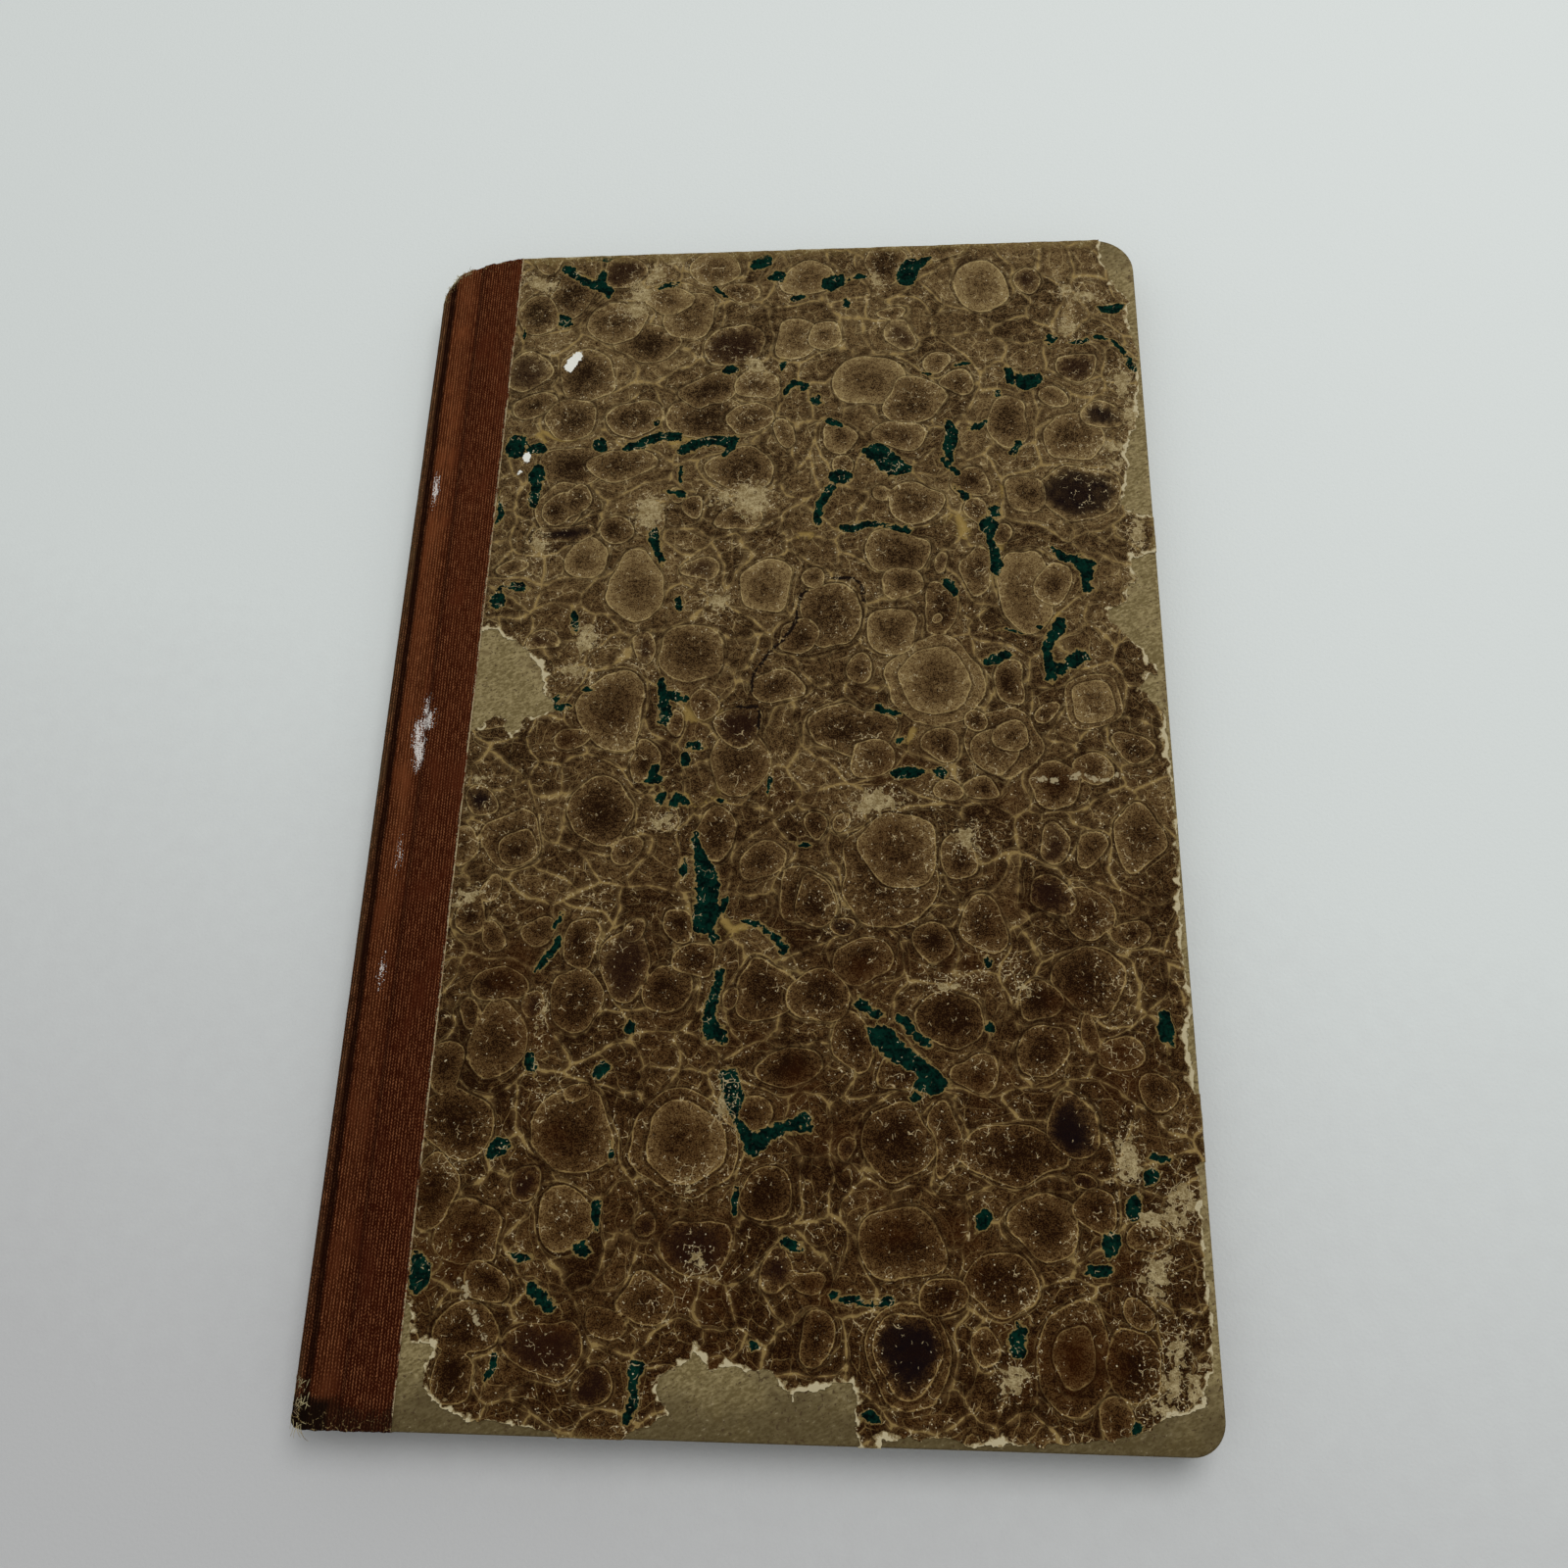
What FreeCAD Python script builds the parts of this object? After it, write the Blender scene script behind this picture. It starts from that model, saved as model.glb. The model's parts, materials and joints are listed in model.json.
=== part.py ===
# Slim quarter-bound hardback book: cloth back, marbled paper sides, lying on its rear cover.
# Frame: +X from spine to fore edge, +Y to the head, +Z up through the front cover, millimetres.
# The origin is the centre of the book's outline, on the surface it lies on.
import FreeCAD
import Part
import os
import Sketcher

doc = FreeCAD.newDocument("book")
sheet = doc.addObject("Spreadsheet::Sheet", "sizes")

# Driving sizes.
SIZES = [
    ("book_height", 334.0),        # boards, head to tail
    ("book_width", 211.3),         # back of the spine to the fore edge
    ("page_thick", 6.0),           # the sewn pages alone
    ("flyleaf_thick", 0.15),
    ("pastedown_thick", 0.15),
    ("turn_in_thick", 0.2),        # paper and cloth where they are folded inside the boards
    ("board_thick", 2.2),
    ("skin_thick", 0.3),           # paper or cloth on the outside of a board
    ("cover_gap", 0.3),            # air between a closed cover and the flyleaf
    ("square", 3.0),               # how far the boards stand past the pages
    ("joint_offset", 12.2),        # back of the spine to the crease where a cover turns
    ("joint_clear", 0.2),          # from the crease to the pieces on either side of it
    ("cloth_reach", 12.6),         # cloth on the board, from the crease
    ("turn_in_wide", 14.0),
    ("pastedown_margin", 4.0),
    ("flyleaf_margin", 0.8),
    ("head_corner", 12.0),         # worn round corners of the boards at the fore edge
    ("tail_corner", 8.0),
    ("spine_corner", 2.0),         # corners of the boards at the crease
    ("page_corner", 1.0),
    ("bumped_head", 10.0),         # crushed corner of the pages at the head of the spine
    ("bumped_tail", 3.0),
    ("mull_thick", 0.3),           # open linen glued on the sewn back
    ("mull_short", 19.0),          # how far the linen stops short of each end of the back
    ("inlay_thick", 0.6),          # card that stiffens the spine
    ("inlay_short", 16.0),         # how far the card stops short of each end, clear of the worn head
    ("spine_cloth_thick", 0.3),
    ("shoulder_rise", 2.1),        # ridge of bent sections along the joint
    ("shoulder_foot", 0.7),        # crease to the foot of the ridge
    ("shoulder_slope", 1.9),       # run of the ridge's rising side
    ("back_round", 2.4),           # run of the ridge's falling side, round to the back
    ("back_flat", 5.2),            # flat middle of the back
    ("ridge_radius", 0.8),
    ("back_radius", 1.6),
    ("fore_hollow", 0.5),          # depth of the fore edge's shallow hollow
]
for row, (alias, value) in enumerate(SIZES, start=1):
    sheet.set(f"A{row}", alias)
    sheet.set(f"B{row}", str(value))
    sheet.setAlias(f"B{row}", alias)
doc.recompute()


# A length from a formula on the sheet's names, for the few sizes that code needs as numbers.
def value_of(formula):
    return float(sheet.evalExpression(formula.replace("sizes.", "")))


# Levels and edges, as formulas on the driving sizes.
HALF_WIDE = "sizes.book_width / 2"
HALF_TALL = "sizes.book_height / 2"
COVER_THICK = "(sizes.skin_thick + sizes.board_thick + sizes.turn_in_thick)"
LEAF_STACK = f"({COVER_THICK} + sizes.pastedown_thick + sizes.cover_gap + sizes.flyleaf_thick)"
BOOK_THICK = f"(2 * {LEAF_STACK} + sizes.page_thick)"
MIDDLE = f"({BOOK_THICK} / 2)"
CREASE_X = f"(sizes.joint_offset - {HALF_WIDE})"
CLOTH_END_X = f"({CREASE_X} + sizes.cloth_reach)"
COVER_START_X = f"({CREASE_X} + sizes.joint_clear)"
SPINE_END_X = f"({CREASE_X} - sizes.joint_clear)"
PAGES_END_X = f"({HALF_WIDE} - sizes.square)"
HALF_PAGE_TALL = f"({HALF_TALL} - sizes.square)"
MULL_LENGTH = "(sizes.book_height - 2 * sizes.mull_short)"
INLAY_LENGTH = "(sizes.book_height - 2 * sizes.inlay_short)"
BACK_STACK = "(sizes.mull_thick + sizes.inlay_thick + sizes.spine_cloth_thick)"
PAGES_BACK_X = f"({BACK_STACK} - {HALF_WIDE})"


def origin_plane(body, role):
    return [face for face in body.Origin.OriginFeatures if face.Role == role][0]


# A closed straight-sided outline whose every corner is tied to the sizes.
def outline(body, name, role, corners, level=None):
    sketch = body.newObject("Sketcher::SketchObject", name)
    sketch.AttachmentSupport = [(origin_plane(body, role), "")]
    sketch.MapMode = "FlatFace"
    if level is not None:
        sketch.setExpression(".AttachmentOffset.Base.z", level)
    spots = [FreeCAD.Vector(value_of(across), value_of(up), 0) for across, up in corners]
    count = len(spots)
    for index in range(count):
        sketch.addGeometry(Part.LineSegment(spots[index], spots[(index + 1) % count]), False)
    for index in range(count):
        sketch.addConstraint(Sketcher.Constraint("Coincident", index, 2, (index + 1) % count, 1))
    for index, (across, up) in enumerate(corners):
        for kind, formula, coordinate in (
            ("DistanceX", across, spots[index].x),
            ("DistanceY", up, spots[index].y),
        ):
            number = sketch.addConstraint(Sketcher.Constraint(kind, -1, 1, index, 1, coordinate))
            label = f"{kind.lower()}_{index}"
            sketch.renameConstraint(number, label)
            sketch.setExpression(f"Constraints.{label}", formula)
    return sketch


def rectangle(left, right, bottom, top):
    return [(left, bottom), (right, bottom), (right, top), (left, top)]


# Rounds the upright edges of the last feature that stand nearest to a corner.
def round_corner(body, name, base, across, up, radius):
    doc.recompute()
    spot = FreeCAD.Vector(value_of(across), value_of(up), 0)
    upright = [
        (edge.CenterOfMass.sub(spot + FreeCAD.Vector(0, 0, edge.CenterOfMass.z)).Length, index)
        for index, edge in enumerate(base.Shape.Edges, start=1)
        if abs(edge.tangentAt(edge.FirstParameter).z) > 0.99
    ]
    fillet = body.newObject("PartDesign::Fillet", name)
    fillet.Base = (base, [f"Edge{min(upright)[1]}"])
    fillet.setExpression("Radius", radius)
    return fillet


# A flat sheet or board: an outline in plan, padded upwards from a level.
def flat_piece(label, corners, level, thick, rounds=()):
    body = doc.addObject("PartDesign::Body", label)
    body.Label = label
    sketch = outline(body, f"{label}_plan", "XY_Plane", corners, level)
    last = body.newObject("PartDesign::Pad", f"{label}_pad")
    last.Profile = sketch
    last.setExpression("Length", thick)
    for index, (across, up, radius) in enumerate(rounds):
        last = round_corner(body, f"{label}_corner_{index}", last, across, up, radius)
    doc.recompute()
    return body


def box(label, left, right, bottom, top, low, high):
    piece = doc.addObject("Part::Box", label)
    piece.setExpression("Length", f"{right} - {left}")
    piece.setExpression("Width", f"{top} - {bottom}")
    piece.setExpression("Height", f"{high} - {low}")
    piece.setExpression(".Placement.Base.x", left)
    piece.setExpression(".Placement.Base.y", bottom)
    piece.setExpression(".Placement.Base.z", low)
    return piece


def cut(label, base, tool):
    piece = doc.addObject("Part::Cut", label)
    piece.Base = base
    piece.Tool = tool
    return piece


def common(label, first, second):
    piece = doc.addObject("Part::Common", label)
    piece.Base = first
    piece.Tool = second
    return piece


def fused(label, pieces):
    piece = doc.addObject("Part::MultiFuse", label)
    piece.Shapes = pieces
    return piece


# Wear. Each outline is drawn from the corner or edge of the book that it belongs to.
CUTTER_MARGIN = 2.0


def worn_area(label, from_x, from_y, points, low, high):
    corners = [(f"{from_x} + {dx}", f"{from_y} + {dy}") for dx, dy in points]
    return flat_piece(label, corners, low, f"{high} - {low}")


FRONT_TOP = f"({BOOK_THICK} + {CUTTER_MARGIN})"
FRONT_BOARD_LOW = f"({BOOK_THICK} - sizes.skin_thick - sizes.board_thick)"

# Head of the spine, worn and frayed away on a slant.
head_wear = worn_area(
    "head_wear",
    f"(-{HALF_WIDE})",
    HALF_TALL,
    [(25.6, 2.0), (25.6, -0.1), (14.0, -2.3), (11.4, -2.4), (5.3, -5.7), (3.6, -8.2), (1.8, -11.4)]
    + [(0.2, -15.5), (-2.0, -16.0), (-2.0, 2.0)],
    f"(-{CUTTER_MARGIN})",
    FRONT_TOP,
)

# Paper torn off beside the cloth, down to the board.
torn_patch = worn_area(
    "torn_patch",
    CLOTH_END_X,
    "sizes.book_height * 0",
    [(-1.0, 35.8), (1.9, 37.5), (4.7, 37.1), (5.8, 34.9), (8.2, 34.4), (10.2, 33.8), (12.8, 31.0)]
    + [(14.2, 28.4), (16.7, 26.7), (18.6, 22.5), (19.8, 17.5), (22.3, 14.6), (22.3, 12.2)]
    + [(19.2, 10.6), (14.7, 10.0), (14.2, 7.4), (11.4, 5.2), (9.4, 6.6), (10.1, 9.4), (6.3, 10.5)]
    + [(3.6, 9.5), (3.1, 7.1), (-1.0, 6.5)],
    FRONT_BOARD_LOW,
    FRONT_TOP,
)

# Bare board at the head corner of the fore edge.
bare_head_corner = worn_area(
    "bare_head_corner",
    HALF_WIDE,
    HALF_TALL,
    [(-10.2, 2.0), (-9.7, -3.0), (-9.8, -7.7), (-7.5, -15.2), (-4.9, -20.2), (-2.1, -23.4)]
    + [(-3.7, -28.1), (-2.9, -34.7), (-1.4, -41.3), (-1.2, -46.5), (-1.5, -53.5), (-2.7, -58.0)]
    + [(-2.5, -62.6), (-3.4, -68.2), (-5.7, -72.6), (-6.7, -77.0), (-5.7, -80.3), (-7.0, -86.8)]
    + [(-8.7, -91.1), (-8.8, -93.2), (-5.8, -96.5), (-1.8, -96.8), (2.0, -97.7), (2.0, 2.0)],
    FRONT_BOARD_LOW,
    FRONT_TOP,
)

# Bare board half way down the fore edge, and the thin bare strip that runs on to the tail.
bare_fore_edge = worn_area(
    "bare_fore_edge",
    HALF_WIDE,
    "sizes.book_height * 0",
    [(2.0, 58.0), (-0.3, 58.3), (-6.6, 56.9), (-7.7, 53.8), (-4.9, 49.6), (-8.9, 48.2)]
    + [(-9.0, 44.6), (-10.7, 42.1), (-13.9, 41.1), (-14.2, 37.6), (-11.2, 34.1), (-9.1, 32.6)]
    + [(-5.5, 28.1), (-4.8, 24.6), (-2.3, 24.1), (-2.9, 21.2), (-5.0, 21.7), (-7.1, 17.4)]
    + [(-4.3, 14.0), (-1.6, 9.2), (-1.1, -7.2), (-0.9, -18.7), (-1.2, -37.6), (-1.7, -53.0)]
    + [(-0.9, -66.3), (-2.1, -74.9), (-1.4, -88.0), (2.0, -89.0)],
    FRONT_BOARD_LOW,
    FRONT_TOP,
)

# Bare tail corner, with the strip above it and the scuffed tail edge.
bare_tail_corner = worn_area(
    "bare_tail_corner",
    HALF_WIDE,
    f"(-{HALF_TALL})",
    [(2.0, 63.0), (-2.2, 62.6), (-2.0, 54.5), (-2.4, 42.0), (-1.5, 25.0), (-2.8, 17.0)]
    + [(-4.6, 10.5), (-8.8, 9.2), (-13.2, 8.2), (-17.0, 5.6), (-21.8, 3.8), (-29.8, 3.1)]
    + [(-39.8, 1.6), (-48.0, 2.2), (-57.2, 1.2), (-61.8, 2.6), (-70.0, 2.3), (-75.5, 2.2)]
    + [(-77.0, -2.0), (2.0, -2.0)],
    FRONT_BOARD_LOW,
    FRONT_TOP,
)

# Large bare bay in the middle of the tail edge.
bare_tail_bay = worn_area(
    "bare_tail_bay",
    "sizes.book_width * 0",
    f"(-{HALF_TALL})",
    [(-27.5, -2.0), (-27.5, 1.4), (-21.5, 3.7), (-17.8, 5.9), (-20.9, 10.2), (-20.2, 13.7)]
    + [(-13.6, 16.5), (-12.8, 19.6), (-10.3, 18.3), (-8.7, 14.8), (-5.0, 16.3), (-0.2, 15.5)]
    + [(5.5, 15.2), (8.0, 11.8), (10.4, 9.3), (11.3, 11.5), (15.1, 11.1), (19.7, 13.4)]
    + [(23.5, 14.0), (24.5, 10.5), (24.0, 7.1), (25.0, 2.0), (25.6, -2.0)],
    FRONT_BOARD_LOW,
    FRONT_TOP,
)

# Bare tail corner beside the cloth.
bare_cloth_corner = worn_area(
    "bare_cloth_corner",
    CLOTH_END_X,
    f"(-{HALF_TALL})",
    [(-1.0, 28.2), (1.2, 28.2), (2.2, 19.2), (8.4, 18.6), (6.1, 14.7), (6.3, 9.8), (11.3, 5.4)]
    + [(17.3, 3.3), (30.4, 2.3), (38.0, 1.2), (39.0, -2.0), (-1.0, -2.0)],
    FRONT_BOARD_LOW,
    FRONT_TOP,
)


# One cover: board, side paper, cloth and pastedown. Its inner face looks to the pages.
def cover(side, outer_low, board_low, inner_low):
    x_end = f"({HALF_WIDE})"
    shrink = "sizes.skin_thick"

    def corners_of(inset):
        return [
            (f"({x_end} - {inset})", f"({HALF_TALL} - {inset})", f"sizes.head_corner - {inset}"),
            (f"({x_end} - {inset})", f"({inset} - {HALF_TALL})", f"sizes.tail_corner - {inset}"),
            (f"({COVER_START_X} + {inset})", f"({inset} - {HALF_TALL})", "sizes.spine_corner"),
            (f"({COVER_START_X} + {inset})", f"({HALF_TALL} - {inset})", "sizes.spine_corner"),
        ]

    blank = flat_piece(
        f"{side}_cover_blank",
        rectangle(COVER_START_X, x_end, f"(-{HALF_TALL})", HALF_TALL),
        outer_low,
        COVER_THICK,
        corners_of("0 * sizes.skin_thick"),
    )
    board = flat_piece(
        f"{side}_board",
        rectangle(
            f"({COVER_START_X} + {shrink})",
            f"({x_end} - {shrink})",
            f"({shrink} - {HALF_TALL})",
            f"({HALF_TALL} - {shrink})",
        ),
        board_low,
        "sizes.board_thick",
        corners_of(shrink),
    )
    # The paper and the cloth wrap the board and fold inside it at the head, tail and fore edge.
    wrap = cut(f"{side}_wrap", blank, board)
    window = box(
        f"{side}_window",
        f"({COVER_START_X} - {CUTTER_MARGIN})",
        f"({x_end} - sizes.turn_in_wide)",
        f"(sizes.turn_in_wide - {HALF_TALL})",
        f"({HALF_TALL} - sizes.turn_in_wide)",
        inner_low,
        f"({inner_low} + sizes.turn_in_thick)",
    )
    folded = cut(f"{side}_folded", wrap, window)
    paper_half = box(
        f"{side}_paper_half",
        CLOTH_END_X,
        f"({x_end} + {CUTTER_MARGIN})",
        f"(-{HALF_TALL} - {CUTTER_MARGIN})",
        f"({HALF_TALL} + {CUTTER_MARGIN})",
        f"({outer_low} - {CUTTER_MARGIN})",
        f"({outer_low} + {COVER_THICK} + {CUTTER_MARGIN})",
    )
    paper = common(f"{side}_paper_whole", folded, paper_half)
    cloth = cut(f"{side}_cloth_whole", folded, paper_half)
    turn_ins = box(
        f"{side}_turn_in_level",
        COVER_START_X,
        x_end,
        f"(-{HALF_TALL})",
        HALF_TALL,
        inner_low,
        f"({inner_low} + sizes.turn_in_thick)",
    )
    return board, paper, cloth, common(f"{side}_turn_ins", folded, turn_ins)


# The lining paper fills the window between the turn-ins and laps over their edges.
def pastedown(side, low, turn_ins):
    blank = flat_piece(
        f"{side}_pastedown_blank",
        rectangle(
            f"({COVER_START_X} + sizes.skin_thick)",
            f"({HALF_WIDE} - sizes.pastedown_margin)",
            f"(sizes.pastedown_margin - {HALF_TALL})",
            f"({HALF_TALL} - sizes.pastedown_margin)",
        ),
        low,
        "sizes.turn_in_thick + sizes.pastedown_thick",
    )
    return cut(f"{side}_pastedown", blank, turn_ins)


REAR_INNER = f"(sizes.skin_thick + sizes.board_thick)"
FRONT_OUTER_LOW = f"({BOOK_THICK} - {COVER_THICK})"

rear_board, rear_paper, rear_cloth, rear_turn_ins = cover(
    "rear", "0 * sizes.skin_thick", "sizes.skin_thick", REAR_INNER
)
front_board_whole, front_paper_whole, front_cloth_whole, front_turn_ins = cover(
    "front_whole", FRONT_OUTER_LOW, FRONT_BOARD_LOW, FRONT_OUTER_LOW
)
rear_pastedown = pastedown("rear", REAR_INNER, rear_turn_ins)
front_pastedown = pastedown(
    "front", f"({FRONT_OUTER_LOW} - sizes.pastedown_thick)", front_turn_ins
)
front_board = cut("front_board", front_board_whole, head_wear)
front_cloth = cut("front_cloth", front_cloth_whole, head_wear)
front_wear = fused(
    "front_wear",
    [torn_patch, bare_head_corner, bare_fore_edge, bare_tail_corner, bare_tail_bay]
    + [bare_cloth_corner],
)
front_paper = cut("front_side_paper", front_paper_whole, front_wear)


# The cross-section of the back: ridge, rounded shoulder and flat middle, both sides alike.
def back_corners(end_x, side_add, back_add):
    half = f"(sizes.page_thick / 2 + {side_add})"
    crest = f"(sizes.page_thick / 2 + sizes.shoulder_rise + {side_add})"
    back_x = f"({PAGES_BACK_X} - {back_add})"
    rise = [
        (end_x, half),
        (f"({CREASE_X} - sizes.shoulder_foot)", half),
        (f"({CREASE_X} - sizes.shoulder_foot - sizes.shoulder_slope)", crest),
        (f"({back_x} + sizes.back_round)", crest),
        (back_x, "sizes.back_flat / 2"),
    ]
    upper = [(across, f"({MIDDLE} + {up})") for across, up in rise]
    lower = [(across, f"({MIDDLE} - {up})") for across, up in reversed(rise)]
    return upper + lower


# A prism of that cross-section, centred on the book's height, its shoulders rounded.
def back_piece(label, end_x, side_add, back_add, length):
    body = doc.addObject("PartDesign::Body", label)
    body.Label = label
    corners = back_corners(end_x, side_add, back_add)
    sketch = outline(body, f"{label}_section", "XZ_Plane", corners)
    pad = body.newObject("PartDesign::Pad", f"{label}_pad")
    pad.Profile = sketch
    pad.Midplane = True
    pad.setExpression("Length", length)
    doc.recompute()
    last = pad
    for name, picks, radius in (
        ("crest", (2, 7), f"sizes.ridge_radius + {side_add}"),
        ("shoulder", (3, 6), f"sizes.back_radius + {side_add}"),
        ("back", (4, 5), f"sizes.back_radius + {side_add}"),
    ):
        edges = []
        for pick in picks:
            spot = FreeCAD.Vector(value_of(corners[pick][0]), 0, value_of(corners[pick][1]))
            along = [
                (edge.CenterOfMass.sub(spot).Length, index)
                for index, edge in enumerate(last.Shape.Edges, start=1)
                if abs(edge.tangentAt(edge.FirstParameter).y) > 0.99
            ]
            edges.append(f"Edge{min(along)[1]}")
        fillet = body.newObject("PartDesign::Fillet", f"{label}_{name}")
        fillet.Base = (last, edges)
        fillet.setExpression("Radius", radius)
        doc.recompute()
        last = fillet
    return body


PAGE_LENGTH = f"2 * {HALF_PAGE_TALL}"
NOTHING = "0 * sizes.mull_thick"

# The sewn pages: one prism, its worn corners rounded in plan, its fore edge slightly hollow.
pages_whole = back_piece("pages_whole", PAGES_END_X, NOTHING, NOTHING, PAGE_LENGTH)
pages_plan = flat_piece(
    "pages_plan",
    rectangle(PAGES_BACK_X, PAGES_END_X, f"(-{HALF_PAGE_TALL})", HALF_PAGE_TALL),
    NOTHING,
    BOOK_THICK,
    [
        (PAGES_BACK_X, HALF_PAGE_TALL, "sizes.bumped_head"),
        (PAGES_BACK_X, f"(-{HALF_PAGE_TALL})", "sizes.bumped_tail"),
        (PAGES_END_X, HALF_PAGE_TALL, "sizes.page_corner"),
        (PAGES_END_X, f"(-{HALF_PAGE_TALL})", "sizes.page_corner"),
    ],
)
pages_rounded = common("pages_rounded", pages_whole, pages_plan)
hollow = doc.addObject("Part::Cylinder", "fore_edge_hollow")
HOLLOW_RADIUS = "((sizes.page_thick / 2) ^ 2 + sizes.fore_hollow ^ 2) / (2 * sizes.fore_hollow)"
hollow.setExpression("Radius", HOLLOW_RADIUS)
hollow.setExpression("Height", "sizes.book_height")
hollow.Placement.Rotation = FreeCAD.Rotation(FreeCAD.Vector(1, 0, 0), 90)
hollow.setExpression(".Placement.Base.x", f"{PAGES_END_X} + {HOLLOW_RADIUS} - sizes.fore_hollow")
hollow.setExpression(".Placement.Base.y", HALF_TALL)
hollow.setExpression(".Placement.Base.z", MIDDLE)
text_block = cut("text_block", pages_rounded, hollow)


# Loose first and last leaves, pasted to the pages along the joint.
def flyleaf(label, low):
    return flat_piece(
        label,
        rectangle(
            SPINE_END_X,
            f"({PAGES_END_X} - sizes.flyleaf_margin)",
            f"(-{HALF_PAGE_TALL})",
            HALF_PAGE_TALL,
        ),
        low,
        "sizes.flyleaf_thick",
    )


front_flyleaf = flyleaf("front_flyleaf", f"({MIDDLE} + sizes.page_thick / 2)")
rear_flyleaf = flyleaf("rear_flyleaf", f"({MIDDLE} - sizes.page_thick / 2 - sizes.flyleaf_thick)")

# Layers on the back, from the pages outwards: open linen, card inlay, cloth.
INLAY_ADD = "(sizes.mull_thick + sizes.inlay_thick)"
CLOTH_ADD = "(sizes.mull_thick + sizes.spine_cloth_thick)"
mull_blank = back_piece(
    "mull_blank", SPINE_END_X, "sizes.mull_thick", "sizes.mull_thick", MULL_LENGTH
)
mull_room = back_piece(
    "mull_room", SPINE_END_X, "sizes.mull_thick", "sizes.mull_thick", "sizes.book_height"
)
inlay_blank = back_piece(
    "inlay_blank", SPINE_END_X, "sizes.mull_thick", INLAY_ADD, INLAY_LENGTH
)
inlay_room = back_piece(
    "inlay_room", SPINE_END_X, "sizes.mull_thick", INLAY_ADD, "sizes.book_height"
)
cloth_blank = back_piece("cloth_blank", SPINE_END_X, CLOTH_ADD, BACK_STACK, "sizes.book_height")
mull_lining = cut("mull_lining", mull_blank, pages_whole)
spine_inlay = cut("spine_inlay", inlay_blank, mull_room)
spine_cloth = cut("spine_cloth", cut("spine_cloth_whole", cloth_blank, inlay_room), head_wear)

PARTS = {
    "rear_board": rear_board,
    "rear_side_paper": rear_paper,
    "rear_cloth": rear_cloth,
    "rear_pastedown": rear_pastedown,
    "text_block": text_block,
    "rear_flyleaf": rear_flyleaf,
    "front_flyleaf": front_flyleaf,
    "mull_lining": mull_lining,
    "spine_inlay": spine_inlay,
    "spine_cloth": spine_cloth,
    "front_board": front_board,
    "front_side_paper": front_paper,
    "front_cloth": front_cloth,
    "front_pastedown": front_pastedown,
}
for name, piece in PARTS.items():
    piece.Label = name
doc.recompute()

failed = [item.Label for item in doc.Objects if {"Invalid", "Error"} & set(item.State)]
for name, piece in PARTS.items():
    if piece.Shape.isNull() or not piece.Shape.isValid() or not piece.Shape.Solids:
        failed.append(name)
if failed:
    raise RuntimeError(f"these did not build: {failed}")

os.makedirs("parts", exist_ok=True)
for name, piece in PARTS.items():
    piece.Shape.exportStep(f"parts/{name}.step")
    box_of = piece.Shape.BoundBox
    print(
        f"{name}: {len(piece.Shape.Solids)} solid, {piece.Shape.Volume:.0f} mm3, "
        f"x {box_of.XMin:.2f} {box_of.XMax:.2f}, y {box_of.YMin:.2f} {box_of.YMax:.2f}, "
        f"z {box_of.ZMin:.2f} {box_of.ZMax:.2f}"
    )
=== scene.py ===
import bpy
import json
import math
import numpy as np
from mathutils import Matrix, Vector, noise

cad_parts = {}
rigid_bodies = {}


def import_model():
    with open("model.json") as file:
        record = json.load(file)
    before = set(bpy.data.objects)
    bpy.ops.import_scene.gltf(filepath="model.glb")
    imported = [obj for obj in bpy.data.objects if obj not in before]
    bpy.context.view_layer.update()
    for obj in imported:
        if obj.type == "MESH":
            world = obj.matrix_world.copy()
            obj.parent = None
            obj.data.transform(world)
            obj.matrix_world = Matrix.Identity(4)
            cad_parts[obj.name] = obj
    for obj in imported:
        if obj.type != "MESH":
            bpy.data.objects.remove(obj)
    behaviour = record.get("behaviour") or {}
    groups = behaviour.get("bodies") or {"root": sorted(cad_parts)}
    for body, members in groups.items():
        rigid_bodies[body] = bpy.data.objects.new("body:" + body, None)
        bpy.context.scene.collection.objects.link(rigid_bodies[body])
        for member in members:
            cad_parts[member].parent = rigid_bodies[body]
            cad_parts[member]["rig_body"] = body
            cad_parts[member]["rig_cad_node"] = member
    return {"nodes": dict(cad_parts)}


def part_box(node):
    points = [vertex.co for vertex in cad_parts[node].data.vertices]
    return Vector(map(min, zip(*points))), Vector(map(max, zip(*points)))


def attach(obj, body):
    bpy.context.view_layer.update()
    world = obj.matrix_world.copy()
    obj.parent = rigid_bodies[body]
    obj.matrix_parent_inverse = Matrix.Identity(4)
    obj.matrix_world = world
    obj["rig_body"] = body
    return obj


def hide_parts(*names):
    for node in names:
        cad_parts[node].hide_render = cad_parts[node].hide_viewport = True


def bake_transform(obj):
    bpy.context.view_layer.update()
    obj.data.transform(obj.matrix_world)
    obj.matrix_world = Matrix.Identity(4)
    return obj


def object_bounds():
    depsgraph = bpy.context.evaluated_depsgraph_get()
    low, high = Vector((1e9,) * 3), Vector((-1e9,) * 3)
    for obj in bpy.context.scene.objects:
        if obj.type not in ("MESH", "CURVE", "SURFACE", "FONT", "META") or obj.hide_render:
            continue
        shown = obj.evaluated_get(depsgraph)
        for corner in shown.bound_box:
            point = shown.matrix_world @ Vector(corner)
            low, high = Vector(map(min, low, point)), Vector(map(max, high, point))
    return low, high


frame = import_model()
cad_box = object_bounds()

# Camera. It stands over the tail of the book and looks down at 68 degrees, a little turned to the
# spine, at the height of a hand-held picture.
EYE_PLACE = Vector((0.033338, -0.142770, 0.356736))
EYE_FORWARD = Vector((-0.077354, 0.360125, -0.929691))
EYE_UP = Vector((0.003695, 0.932583, 0.360938))
EYE_RIGHT = EYE_FORWARD.cross(EYE_UP).normalized()

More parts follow.
